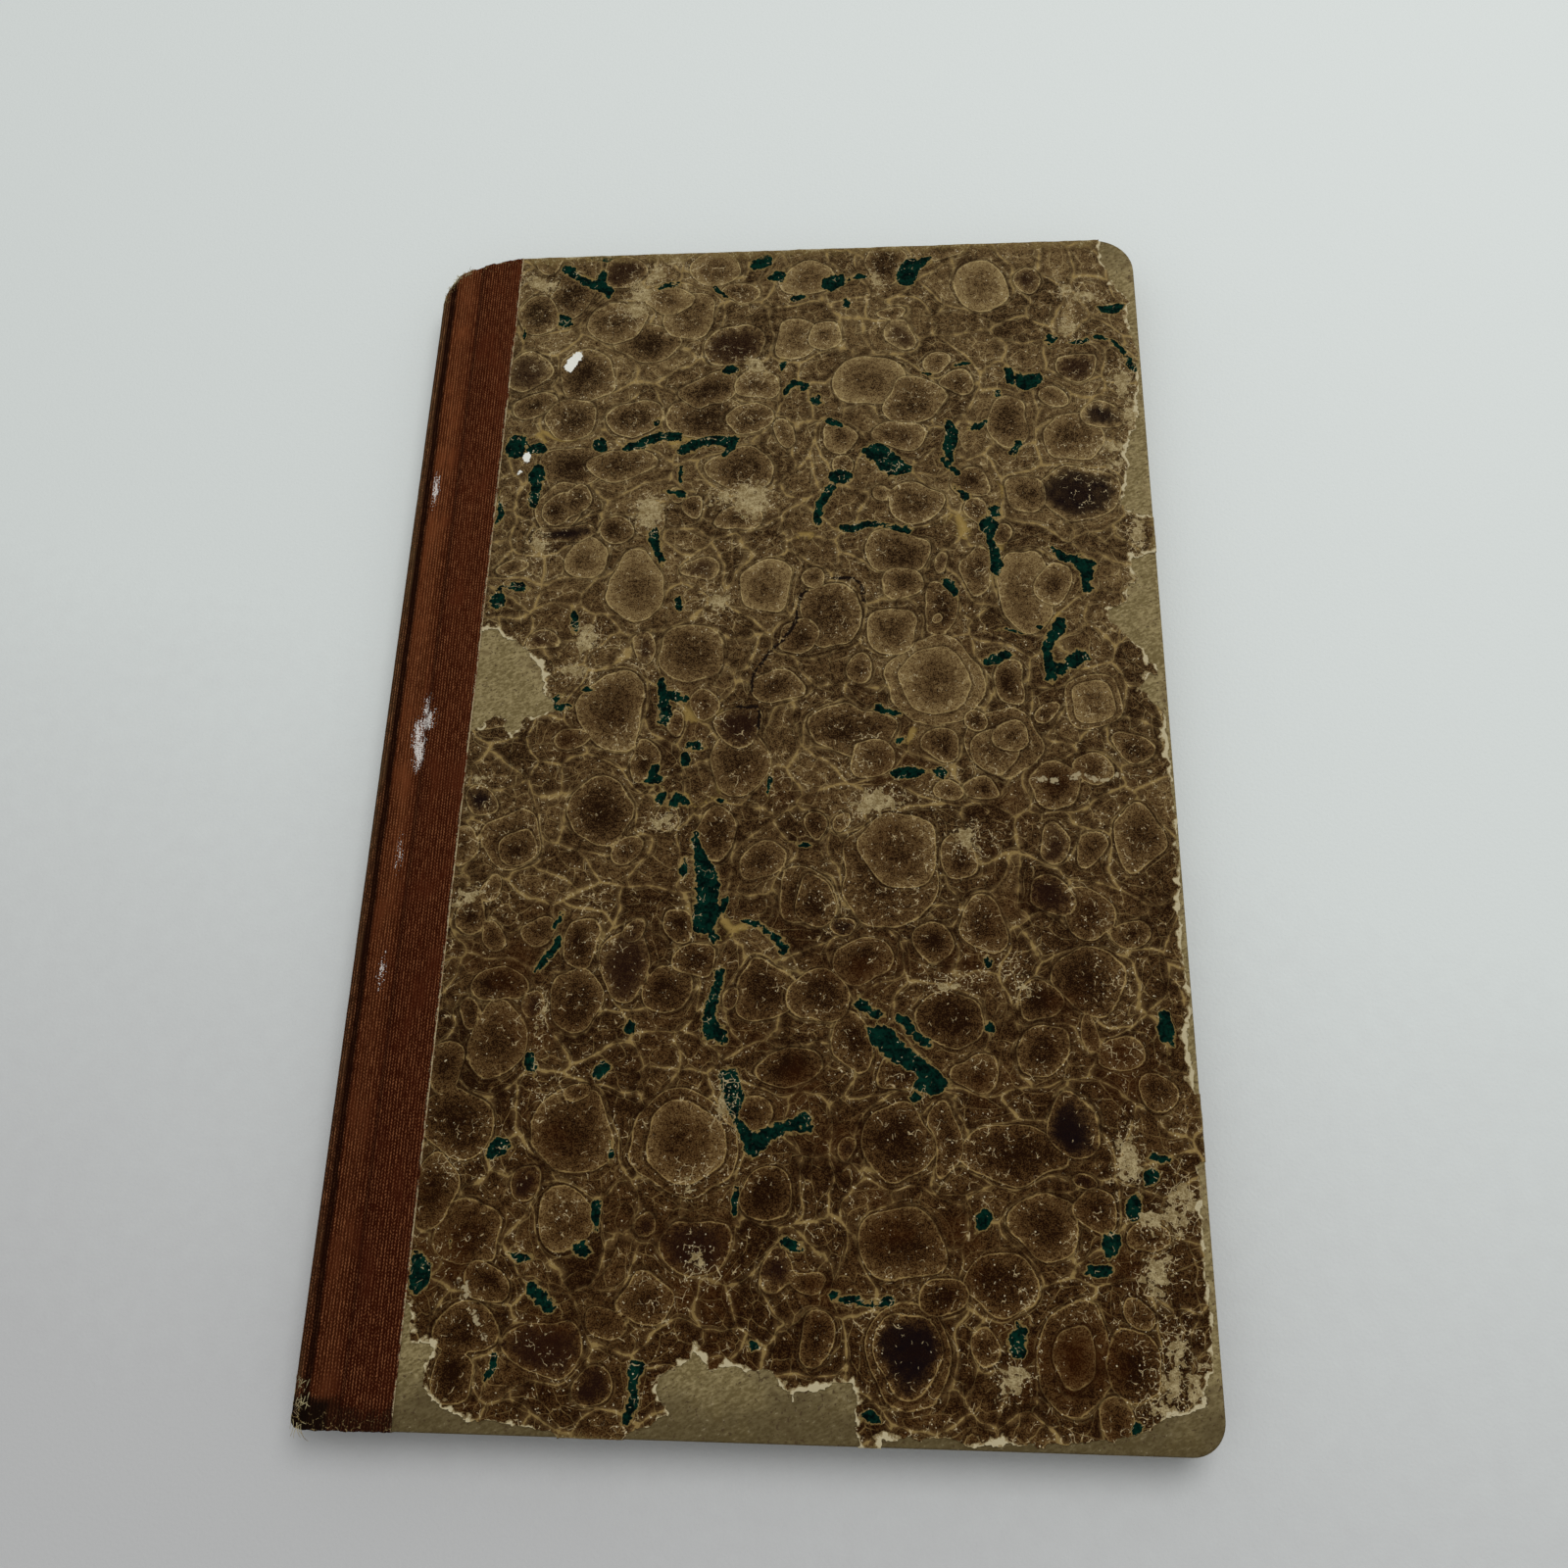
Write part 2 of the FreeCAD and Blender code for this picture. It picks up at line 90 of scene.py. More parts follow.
lens = bpy.data.cameras.new("lens")
lens.lens = 32.425
lens.sensor_width = 36.0
lens.clip_start = 0.01
camera = bpy.data.objects.new("camera", lens)
camera.matrix_world = Matrix.Translation(EYE_PLACE) @ Matrix(
    (EYE_RIGHT, EYE_UP, -EYE_FORWARD)
).transposed().to_4x4()
bpy.context.scene.collection.objects.link(camera)
bpy.context.scene.camera = camera
bpy.context.scene.view_settings.view_transform = "Standard"


# Floor. A pale painted table top under a wide lamp and an even pale room. Its colour carries painted
# light falloff: darker near the camera, lighter towards the head of the book and the right. A
# material's sums are written as plain arithmetic on Shade values.
class Shade:
    """A value that varies over a surface. Arithmetic on it adds the Math nodes."""

    def __init__(self, finish, socket):
        self.finish = finish
        self.socket = socket

    def math(self, operation, first, second):
        return self.finish.node("ShaderNodeMath", {"operation": operation}, {0: first, 1: second})

    def __add__(self, other):
        return self.math("ADD", self, other)

    def __sub__(self, other):
        return self.math("SUBTRACT", self, other)

    def __rsub__(self, other):
        return self.math("SUBTRACT", other, self)

    def __mul__(self, other):
        return self.math("MULTIPLY", self, other)

    def __abs__(self):
        return self.math("ABSOLUTE", self, 0.0)

    def wave(self):
        return self.math("SINE", self, 0.0)

    def most(self, other):
        return self.math("MAXIMUM", self, other)

    __radd__ = __add__
    __rmul__ = __mul__

    # 0 at low, 1 at high, smooth between them; low may be the larger
    def rise(self, low, high):
        return self.finish.node(
            "ShaderNodeMapRange",
            {"interpolation_type": "SMOOTHSTEP"},
            {"Value": self, "From Min": low, "From Max": high},
        )


class Finish:
    """A material in the making: its nodes, and the shader they feed."""

    def __init__(self, name):
        self.material = bpy.data.materials.new(name)
        self.material.use_nodes = True
        self.tree = self.material.node_tree
        self.shader = self.tree.nodes["Principled BSDF"]

    def node(self, kind, settings, inputs, output=0):
        node = self.tree.nodes.new(kind)
        for name, value in settings.items():
            if name == "stops":
                while len(node.color_ramp.elements) < len(value):
                    node.color_ramp.elements.new(0.5)
                for element, (place, colour) in zip(node.color_ramp.elements, value, strict=True):
                    element.position = place
                    element.color = colour
            else:
                setattr(node, name, value)
        self.feed(node, inputs)
        return Shade(self, node.outputs[output])

    def feed(self, node, inputs):
        for name, value in inputs.items():
            if isinstance(value, Shade):
                self.tree.links.new(value.socket, node.inputs[name])
            else:
                node.inputs[name].default_value = value

    # the point's place on the finished object, in millimetres
    def place(self):
        where = self.node("ShaderNodeTexCoord", {}, {}, "Object")
        return self.node(
            "ShaderNodeVectorMath", {"operation": "SCALE"}, {0: where, "Scale": 1000.0}
        )

    def stored(self, name, output="Fac"):
        return self.node("ShaderNodeAttribute", {"attribute_name": name}, {}, output)

    # soft mottling, nearly all of it between -0.5 and 0.5, with features of the given size
    def mottle(self, where, size, detail=2.0):
        inputs = {"Vector": where, "Scale": 1.0 / size, "Detail": detail}
        return self.node("ShaderNodeTexNoise", {}, inputs) * 2.0 - 1.0

    # a field of cells of the given size, in the plane of the place
    def cells(self, where, size, feature="F1", output="Distance"):
        settings = {"feature": feature, "voronoi_dimensions": "2D"}
        return self.node("ShaderNodeTexVoronoi", settings, {"Vector": where, "Scale": 1.0 / size}, output)

    # the place shaken by noise of the given size
    def shaken(self, where, size, amount):
        drift = self.node("ShaderNodeTexNoise", {}, {"Vector": where, "Scale": 1.0 / size}, "Color")
        return self.node(
            "ShaderNodeVectorMath",
            {"operation": "MULTIPLY_ADD"},
            {0: drift, 1: (amount, amount, amount), 2: where},
        )

    # the same place, turned in plan and squeezed along each axis
    def turned(self, where, degrees, squeeze):
        inputs = {"Vector": where, "Rotation": (0, 0, math.radians(degrees)), "Scale": squeeze}
        return self.node("ShaderNodeMapping", {"vector_type": "TEXTURE"}, inputs)

    # one coordinate of the place: X, Y or Z
    def axis(self, where, name):
        return self.node("ShaderNodeSeparateXYZ", {}, {0: where}, name)

    def mix(self, first, second, share):
        inputs = {"Factor": share, 6: first, 7: second}
        return self.node("ShaderNodeMix", {"data_type": "RGBA"}, inputs, 2)

    # a colour ramp over a value, as pairs of place and colour
    def ramp(self, value, stops):
        return self.node("ShaderNodeValToRGB", {"stops": stops}, {"Fac": value}, "Color")

    # the finished material; its relief is a height and how deep that is, in metres
    def dress(self, colour, roughness, height, depth, specular=0.5):
        relief = {"Height": height, "Distance": depth, "Strength": 1.0}
        normal = self.node("ShaderNodeBump", {}, relief)
        inputs = {"Base Color": colour, "Roughness": roughness, "Normal": normal}
        self.feed(self.shader, inputs | {"Specular IOR Level": specular})
        return self.material


# a colour as a painter reads it off a screen, 0 to 255, made linear
def paint(red, green, blue):
    steps = [value / 255 for value in (red, green, blue)]
    linear = [s / 12.92 if s <= 0.04045 else ((s + 0.055) / 1.055) ** 2.4 for s in steps]
    return (*linear, 1.0)


FLOOR_NEAR = paint(180, 180, 180)
FLOOR_MIDDLE = paint(204, 208, 206)
FLOOR_FAR = paint(207, 211, 209)
FLOOR_SIZE = 6.0
FLOOR_SLANT = 0.3
FLOOR_START = -200.0
FLOOR_REACH = 460


def floor_paint():
    finish = Finish("pale_floor")
    where = finish.place()
    along = finish.axis(where, "Y")
    across = finish.axis(where, "X")
    uneven = finish.mottle(where, 60.0) * 14.0 + finish.mottle(where, 5.0, 4.0) * 24.0
    # painted light falloff: the ramp runs from darker near the camera to lighter towards the head and the
    # right
    level = (along + across * FLOOR_SLANT + uneven - FLOOR_START) * (1 / FLOOR_REACH)
    colour = finish.ramp(level, [(0.0, FLOOR_NEAR), (0.45, FLOOR_MIDDLE), (1.0, FLOOR_FAR)])
    grain = finish.mottle(where, 0.9, 3.0)
    return finish.dress(colour, 0.75, grain, 0.00005)


bpy.ops.object.select_all(action="DESELECT")
bpy.ops.mesh.primitive_plane_add(size=FLOOR_SIZE)
floor = bpy.context.object
floor.name = "floor"
floor.data.materials.append(floor_paint())

LAMP_PLACE = Vector((0.45, 0.55, 1.5))
lamp_light = bpy.data.lights.new("wide_lamp", "AREA")
lamp_light.shape = "DISK"
lamp_light.size = 1.1
lamp_light.energy = 14.0
lamp = bpy.data.objects.new("wide_lamp", lamp_light)
lamp.matrix_world = (
    Matrix.Translation(LAMP_PLACE) @ LAMP_PLACE.to_track_quat("Z", "Y").to_matrix().to_4x4()
)
bpy.context.scene.collection.objects.link(lamp)

ROOM_LEVEL = 0.58
room = bpy.data.worlds.new("room")
room.use_nodes = True
room.node_tree.nodes["Background"].inputs["Color"].default_value = (0.98, 1.0, 1.0, 1.0)
room.node_tree.nodes["Background"].inputs["Strength"].default_value = ROOM_LEVEL
bpy.context.scene.world = room


# Front board. Grey pulp board, soft and rubbed at its edges, bare where its paper is torn away:
# a warm grey-tan with long fibres, dark specks and small pits.
def greyboard():
    finish = Finish("greyboard")
    where = finish.place()
    cloud = finish.mottle(where, 9.0, 3.0)
    grain = finish.mottle(where, 0.55, 3.0)
    fibres = finish.mottle(finish.turned(where, 24.0, (1.6, 0.7, 1.0)), 0.8, 3.0)
    pulp = (cloud * 0.6 + fibres + grain * 0.5 + 0.5).rise(0.1, 0.9)
    tan = finish.mix(paint(97, 83, 50), paint(136, 121, 84), pulp)
    speck = (finish.mottle(where, 0.7, 1.0) + grain * 0.6 + cloud * 0.3).rise(0.3, 0.5)
    stain = (cloud + finish.mottle(where, 2.4, 4.0) * 0.9).rise(0.1, 0.7)
    tan = finish.mix(tan, paint(84, 66, 38), stain * 0.6)
    along = finish.axis(where, "Y")
    handled = (abs(along - 3.0) + cloud * 16.0 + grain * 4.0).rise(152.0, 168.0)
    tan = finish.mix(tan, paint(60, 48, 24), handled * 0.72)
    dusty = finish.mix(tan, paint(62, 46, 27), speck * 0.8)
    pale = (fibres + grain * 0.7).rise(0.4, 0.7)
    colour = finish.mix(dusty, paint(158, 146, 114), pale * 0.6)
    height = fibres + grain * 0.6 - speck * 0.5
    return finish.dress(colour, 0.9, height, 0.00003, 0.15)


EDGE_WEAR = 0.28


def activate(piece):
    bpy.ops.object.select_all(action="DESELECT")
    piece.select_set(True)
    bpy.context.view_layer.objects.active = piece


# a board's solid with its edges rubbed round, as a share of its thickness
def worn_board(node, name, material):
    low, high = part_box(node)
    board = frame["nodes"][node].copy()
    board.data = board.data.copy()
    board.name = name
    board.parent = None
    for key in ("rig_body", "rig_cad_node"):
        if key in board:
            del board[key]
    bpy.context.scene.collection.objects.link(board)
    board.data.materials.clear()
    board.data.materials.append(material)
    activate(board)
    bpy.ops.object.mode_set(mode="EDIT")
    bpy.ops.mesh.select_all(action="SELECT")
    bpy.ops.mesh.remove_doubles(threshold=1e-6)
    bpy.ops.mesh.dissolve_limited(angle_limit=math.radians(2))
    bpy.ops.mesh.select_all(action="DESELECT")
    bpy.ops.mesh.select_mode(type="EDGE")
    bpy.ops.mesh.edges_select_sharp(sharpness=math.radians(60))
    bpy.ops.mesh.bevel(offset=(high[2] - low[2]) * EDGE_WEAR, segments=3, affect="EDGES")
    bpy.ops.mesh.select_all(action="SELECT")
    bpy.ops.mesh.quads_convert_to_tris()
    bpy.ops.object.mode_set(mode="OBJECT")
    bpy.ops.object.shade_smooth_by_angle(angle=math.radians(40))
    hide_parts(node)
    return board


board_material = greyboard()
front_board = worn_board("front_board", "worn_front_board", board_material)
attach(front_board, "front_cover")

# Front side paper. One sheet of old marbled paper, glued on the board and folded round its
# edges: brown drops outlined in tan, ochre and dark green between them, rubbed, scratched and
# torn down to the board. Its fields are worked out point by point, in millimetres.
SHEET_THICK = 0.0002
PAPER_DROP = 0.05
FOLD_ROUND = 0.55
TURN_IN_SHOWN = 6.5
HEAD_CORNER = 12.0
TAIL_CORNER = 8.0
CLOTH_OVERLAP = 0.4
COARSE = 1.05
FINE = 0.55
HIDDEN = 1.6
FINE_BAND = 1.2
HIDDEN_SHARE = 0.15
TEAR_BAND = 1.2
TEAR_SNAP = 0.4
TEAR_REACH = 0.6
TEAR_STEP = 0.15
NOWHERE_NEAR = 50.0
LAYERS = 3

book_low, book_high = (np.array(corner) * 1000 for corner in cad_box)
paper_low, paper_high = (np.array(corner) * 1000 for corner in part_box("front_side_paper"))
cover_thick = paper_high[2] - paper_low[2]
quarter = math.pi / 2 * FOLD_ROUND
side_run = cover_thick - PAPER_DROP - 2 * FOLD_ROUND
sheet_reach = 2 * quarter + side_run - FOLD_ROUND + TURN_IN_SHOWN

# Drops as they lie on the sheet: x, y from the middle of the book, half width, half height.
BROWN_DROPS = [
    (-65, 152, 7, 7), (-74, 144, 6, 7), (-50, 141, 8, 8), (-35, 149, 7, 5), (-40, 133, 10, 7),
    (-20, 160, 8, 6), (-28, 143, 8, 8), (8, 155, 8, 6), (5, 133, 7, 7), (-20, 116, 9, 6),
    (-6, 117, 6, 5), (-21, 105, 12, 8), (-42, 106, 8, 6), (-61, 107, 8, 7), (-73, 112, 6, 4),
    (-59, 89, 10, 8), (-45, 90, 10, 6), (-8, 104, 8, 5), (-10, 88, 10, 7), (14, 134, 6, 6),
    (-58, 121, 9, 9), (40, 110, 9, 8), (85, 96.6, 9, 8), (66, 102, 6, 9), (18, 98, 5, 6),
    (34.5, 98, 8, 5),
    (-62.5, 76, 6.5, 7.5), (-21, 28.5, 8.8, 8.2), (-42, 12, 9, 13), (-23.3, 76, 3, 3.5),
    (7, 34, 6, 6), (2, 18, 7, 5), (-17, 14, 4, 4.5), (-26, 9, 2, 4), (-44.7, 68, 5, 5),
    (-53.3, 4, 4, 3), (71, 78.5, 6, 6), (40, 75, 8, 6), (34.5, 60, 9, 7), (16.5, 40.5, 8.5, 9),
    (33, 35, 7, 7.5), (36, 50, 6, 5), (46, 41.5, 4.5, 9), (22, 6, 11, 8), (64.5, 3.5, 5, 5),
    (56.7, 53, 4, 8), (77, 50, 5, 7), (24.5, 23.5, 4, 4), (64.6, 64.7, 3, 4),
    (-64.7, -27, 4.8, 4.8), (-44, -17, 8.5, 9), (-79, -27, 4, 5), (-23, -64, 5, 5.5),
    (1.7, -64, 8, 7.5), (-12.5, -23, 5, 7), (11, -40, 8, 7.5), (-0.5, -31, 6, 5),
    (-7.5, -3, 8, 9), (-45.5, -53, 4.5, 6), (-66, -64, 7, 5), (-65, -78, 8, 9), (-46, -67, 6, 8),
    (-21, -47, 4, 4), (-75, -45.5, 4.5, 4.5), (-17, -56, 5, 5), (34.5, -27.5, 9.5, 10),
    (28, -2, 6, 6), (13.5, -41, 5, 7), (60.5, -1, 6, 7), (81.5, -45, 6, 7), (55.5, -48, 6, 7.5),
    (43, -52, 4.5, 5.5), (46.5, -70.5, 8, 7), (68, -66, 4.5, 5.5), (81, -62, 9, 8),
    (25, -57, 7, 6), (15, -66, 8, 6), (69, -78.5, 7, 5.5), (53, -84, 6, 4), (88, -79, 6, 5),
    (75, -11, 6, 7), (95, -25, 6, 8), (50, -30, 5, 6), (91, -50, 4, 4), (-73, -98, 9, 8),
    (-45, -99, 11, 10), (-67, -124, 8, 8), (-77, -114, 6, 8), (3, -114, 6.5, 6.5),
    (-24, -137, 7, 6), (-62, -135, 5, 4), (-66, -144, 8, 5), (-68, -154, 5, 6),
    (73, -147.5, 8.5, 12), (54, -146, 3, 4.5), (34.5, -124, 10, 8), (68, -119, 8, 6.5),
    (34, -101, 8, 9), (45.5, -100, 3.5, 9), (61, -103, 13, 7), (79.5, -115, 5, 5),
    (57, -132, 8, 7), (45, -135, 5, 5), (86, -148, 6, 8), (96, -89, 4, 5),
]
LIGHT_DROPS = [
    (59.5, 151, 8.5, 9.5), (26.5, 117, 12, 8), (-53.3, 59, 5.5, 6), (-38.3, 50.5, 7.5, 11),
    (-2, 49.5, 7, 8.5), (69, 46, 7.5, 12), (44.5, 19.5, 9.5, 9.5), (85.6, 13.7, 6, 6.2),
    (-44.5, -119.5, 7, 8), (-17.5, -102, 9.5, 9.5),
]
DARK_DROPS = [
    (-49, 159, 7, 6), (-76, 124, 7, 6), (-14, 131, 9, 8), (74.6, 152.6, 4, 5), (36, 133, 5, 5),
    (87, 120.5, 6, 5),
    (-19.7, 55.5, 6, 4), (-34.7, 31, 3, 4.5), (-63.3, 33.3, 4.5, 3.5), (-8.3, 7, 6, 6),
    (47.8, 56.5, 2, 3), (-34, -58, 6, 9), (-33.3, -49.5, 3, 2.5), (-57, -68, 3, 3),
    (73, -40, 6, 6), (73.5, -26, 4, 4.5), (-13, -125, 8, 6), (-55, -112, 4, 4), (-48, -148, 10, 6),
    (-35.5, -156, 4, 4), (6.5, -131, 4, 5), (22.5, -102.5, 2.2, 2.5), (77, -108.5, 3, 2),
    (-25.5, -122, 2.5, 2.5), (-7.6, -65.5, 1.7, 2.5),
]
BLACK_DROPS = [
    (85.5, 77, 11, 8.5), (-60, 67, 9, 3), (93, 104, 7, 4), (-76, -14, 5, 4), (20.5, -47, 3.5, 2.5),
    (36, -147, 7, 10), (75.5, -96, 6, 7),
]
# Second outlines, thrown round or inside a drop.
OUTER_RINGS = [
    (62.5, 2, 10, 10), (44.5, 19.5, 13, 13), (85.6, 13.7, 8, 8.2), (-66.5, -25, 7.5, 8.5),
    (32, -34, 11.5, 15), (-17.5, -102, 12.5, 12.5), (-57.3, 78, 4, 4), (44.5, 38.3, 1.3, 1.8),
    (-44, -90, 3, 2.5), (73, -147.5, 5, 7), (36, -147, 9, 12), (-62.5, 76, 4, 5),
]
GREEN_DROPS = [
    (-55.5, 165, 5, 1.2), (-66, 143.5, 2, 2), (-6.5, 162, 3, 2), (-1, 156.5, 2.5, 1.5),
    (4.5, 148, 2, 1.2), (-77, 97.5, 3, 4), (-70, 95, 3, 1.5), (-69.5, 86, 2, 3),
    (-52.5, 97.5, 1.8, 2.5), (-36, 103.4, 1, 1), (-14.7, 121.2, 1.5, 1.2), (1, 124.5, 0.8, 2),
    (11, 110, 1, 1.2), (-78.5, 137, 0.6, 2.5), (-56, 127.5, 2.5, 0.6), (38.5, 157, 4, 5),
    (15, 154, 3, 3), (23, 155.3, 3, 0.6), (19.5, 144.5, 0.8, 2), (97.8, 141, 3.5, 1.5),
    (80, 130, 1.6, 1.8), (88.5, 129.8, 2, 0.6), (73, 116.5, 3.2, 3), (68, 118, 1, 2),
    (44, 120.5, 1.2, 0.6), (54, 121.7, 2, 0.5), (50, 96, 2, 6), (17, 103, 3, 1.5),
    (67.8, 93.7, 1, 1.5), (27.4, 92, 2, 1.5), (18.5, 84.5, 3, 1.8), (63.5, 112, 1, 1.2),
    (-77.5, 45.5, 2.5, 2.7), (-71.5, 50.2, 2.2, 1.2), (-76, 50.3, 1.5, 0.5),
    (-55.8, 40, 0.9, 2.8), (-49, 19, 1.3, 0.9), (-55, 13, 2.5, 0.8), (-28, 80, 3, 1.5),
    (-26.2, 43.2, 1, 1.2), (-25.5, 17, 1.5, 1.3), (-22.7, 16.3, 1.2, 1.1), (-8.7, 71.5, 2, 1.5),
    (-79.8, 76, 0.8, 5), (-69.5, 81, 1, 4), (60, 68, 3, 3.5), (63, 73, 1.3, 1.2),
    (60, 63.5, 1, 1.5), (62, 56.5, 2, 5), (49, 49, 1.2, 2.5), (65, 34, 2.5, 0.5),
    (72, 37, 1.2, 0.6), (61, 25.5, 3, 1.5), (35.5, 3, 1, 1), (-28.5, -13.5, 1.3, 1.2),
    (-21, -13.5, 1, 1), (-22, -2, 1.3, 2), (-10.7, -14, 1, 0.6), (1, -10.5, 0.7, 2.5),
    (-12.3, -50, 1, 1.3), (-8.5, -42, 0.8, 3), (-21, -32, 0.8, 2), (8.5, -26, 2, 0.5),
    (-9.5, -75, 1, 2), (-56, -83.5, 1.2, 2), (-38.5, -84.5, 2.5, 1.8), (-32, -74.5, 1, 1.8),
    (36.5, -7.5, 3.5, 1.5), (44.5, -7.3, 1.5, 1.2), (55.3, -58, 0.8, 1), (55.8, -72.7, 1, 1.3),
    (98, -73.5, 1.8, 3.5), (-35, -102, 0.8, 2.5), (-37.2, -118, 1.2, 3.8), (-62, -103, 2, 2.5),
    (-4.5, -115, 0.8, 3.5), (9, -124.8, 1.5, 1), (-78.5, -132, 2.5, 5), (-71.8, -124.5, 0.8, 2.5),
    (-55, -127, 1.5, 0.6), (-40, -126.5, 1.2, 0.8), (-25, -152.5, 1.8, 1.8),
    (-59.5, -152.5, 0.6, 2.5), (0, -145, 1, 0.6), (41, -86.5, 5, 2.5), (38, -90.5, 1.5, 1),
    (12, -96.5, 1.2, 0.8), (94.3, -103, 1.8, 0.7), (92, -107, 1.3, 1.8), (89.5, -115.5, 1.8, 3),
    (54, -118.5, 2, 2), (82, -122, 1.5, 2.5), (79.5, -128.5, 3.5, 1.5), (60.3, -144.5, 1.4, 3),
    (85.5, -161.2, 1.3, 1), (28, -161.5, 2, 1),
]
# Green run out between the drops: half width at the start and end, then the points it follows.
GREEN_STREAKS = [
    (1.5, 1.5, [(-66, 161), (-62.5, 156), (-57, 154.5), (-55.5, 160)]),
    (1.5, 1.0, [(-57, 154.5), (-53, 153), (-54, 150.5)]), (1.0, 0.6, [(-36, 152.5), (-32, 155)]),
    (0.5, 0.5, [(-21, 153), (-16, 148)]), (1.2, 1.2, [(-43, 96.5), (-35, 98), (-30, 98.5)]),
    (1.2, 1.2, [(-27, 94.5), (-20, 97), (-12.5, 97.5), (-15.5, 93)]),
    (0.7, 0.7, [(2, 114.5), (5, 116), (8, 114.5)]), (0.4, 0.3, [(-26.5, 89), (-27, 84)]),
    (2.0, 0.8, [(38.5, 157), (45, 163)]),
    (0.5, 0.5, [(92.5, 130), (98, 127.5), (101, 123.5), (103, 118)]),
    (0.5, 0.4, [(48, 89), (54.5, 83)]), (0.5, 0.5, [(56, 99.5), (60, 103)]),
    (2.2, 1.5, [(29, 91), (37, 85.5)]), (0.8, 0.6, [(-56, 16), (-60, 13)]),
    (1.8, 0.2, [(-35, 69), (-31, 59)]), (1.0, 0.7, [(-29, 20), (-28.5, 10)]),
    (0.5, 0.5, [(-22, 1.5), (-20, 2), (-18, 0.5)]), (1.3, 0.9, [(16, 81), (13, 76), (12.5, 69)]),
    (0.8, 0.6, [(20, 68.5), (37, 68)]), (0.8, 0.7, [(52, 80), (54.5, 75)]),
    (0.5, 1.5, [(76, 60), (82, 57.5), (86.5, 54)]), (1.5, 0.4, [(86.5, 54), (86.5, 46)]),
    (1.4, 1.1, [(77.5, 36), (75, 22)]), (1.0, 0.8, [(83, 27), (78, 23.5)]),
    (0.8, 0.5, [(29, 14), (33, 10.5)]), (1.0, 1.0, [(-29.5, -4), (-31, -8), (-28, -8.5)]),
    (1.0, 0.8, [(-23, -13), (-26, -17.5)]), (0.8, 2.0, [(-17, -23), (-16, -31)]),
    (2.0, 3.4, [(-16, -31), (-13.5, -45)]), (0.5, 0.5, [(-2.5, -45.5), (6.5, -53.5)]),
    (0.4, 0.4, [(-51, -45.5), (-54.5, -49)]), (0.9, 0.7, [(-52, -52), (-56, -58.5)]),
    (0.8, 1.3, [(-10, -58), (-12, -66), (-12, -75)]), (0.6, 0.5, [(25.5, -67), (30.5, -71)]),
    (0.5, 0.5, [(27, -74), (23.5, -79)]), (2.4, 2.4, [(29, -76), (34, -79), (38, -82.5)]),
    (2.4, 2.6, [(38, -82.5), (42.5, -86)]), (0.6, 0.6, [(35, -73), (42, -77.5)]),
    (2.2, 1.6, [(-6, -86), (-5.5, -95)]), (1.6, 1.5, [(-5.5, -95), (-1, -102.5)]),
    (1.5, 0.6, [(-1, -102.5), (3, -99.5), (11.5, -97)]), (1.2, 1.0, [(-51, -134), (-47.3, -138)]),
    (1.0, 0.5, [(-25, -152.5), (-27, -162)]),
    (0.5, 0.5, [(20, -135), (26, -137), (32.5, -135)]),
]
# Places rubbed down to the sheet's own paper, then places stained ochre and flecked with white.
PALE_PLACES = [
    (-42, 152, 3, 3), (-46, 146, 3, 3), (-38.5, 158.5, 2, 3.5), (-32.5, 164.5, 3, 1.5),
    (-75, 156, 4, 3), (-7.5, 123.5, 2.5, 2.5), (85, 148, 2.5, 2), (90, 145.5, 3, 1.8),
    (85.6, 135, 3, 3), (100.3, 113.7, 2, 4), (101, 104.4, 2, 5), (96, 93, 3, 2), (96, 86.5, 2.5, 1.5),
    (97.5, 48, 1.5, 4), (101, 64, 2, 4), (28.5, 155, 1.5, 3), (-36.2, 73.3, 3.4, 3.8),
    (-15.5, 78.5, 2.5, 2.5), (-7, 78, 5, 6), (-67, 64, 2, 3), (-52.5, 34, 3, 4.5),
    (-55.5, 23.5, 4, 1.5), (-14.5, 45.5, 2.5, 3), (-77, -7, 1.5, 1), (-76, -41.5, 3, 2),
    (-54, -70.5, 1, 2.5), (-27, -20.5, 3, 2), (29, -14.5, 6, 2.6), (53, -25, 3, 2),
    (47, -62, 4, 1.5), (64.5, -62.7, 1, 1.5), (-8, -92, 0.8, 3), (-15.5, -111.3, 1, 0.8),
    (-13, -127.5, 1, 2), (60, -153, 3, 3), (96, -144, 2, 3), (94, -151, 2.5, 3),
    (99, -152, 1.5, 3.5), (91, -157, 2.5, 1.5), (92.5, -119, 2.5, 2), (97, -118, 2, 2.5),
    (93, -129, 3, 3), (99.5, -113, 3, 3), (87, -103, 3, 5),
]
OCHRE_PLACES = [
    (51, 67, 4, 3), (-16, -11.5, 5, 2.5), (-6.5, -47.5, 4, 4), (62, 78, 2, 5), (-31, 97, 9, 2),
    (-20, 12, 8, 3), (63, 60, 3, 4), (77, 38, 3, 2), (38, 4, 3, 2), (-58, 156, 6, 3),
    (34, -82, 7, 3), (-3, -97, 5, 5), (-66, 100, 6, 3), (10, 66, 3, 3),
]
WHITE_FLECKS = [(-63.4, 123.6, 1.8, 1.5), (-61.9, 125.6, 1.9, 1.7), (-60.9, 127.6, 1.5, 1.7)]
WHITE_FLECKS += [(-73.3, 92.8, 1.3, 1.6), (-75.4, 88.5, 0.7, 0.8)]
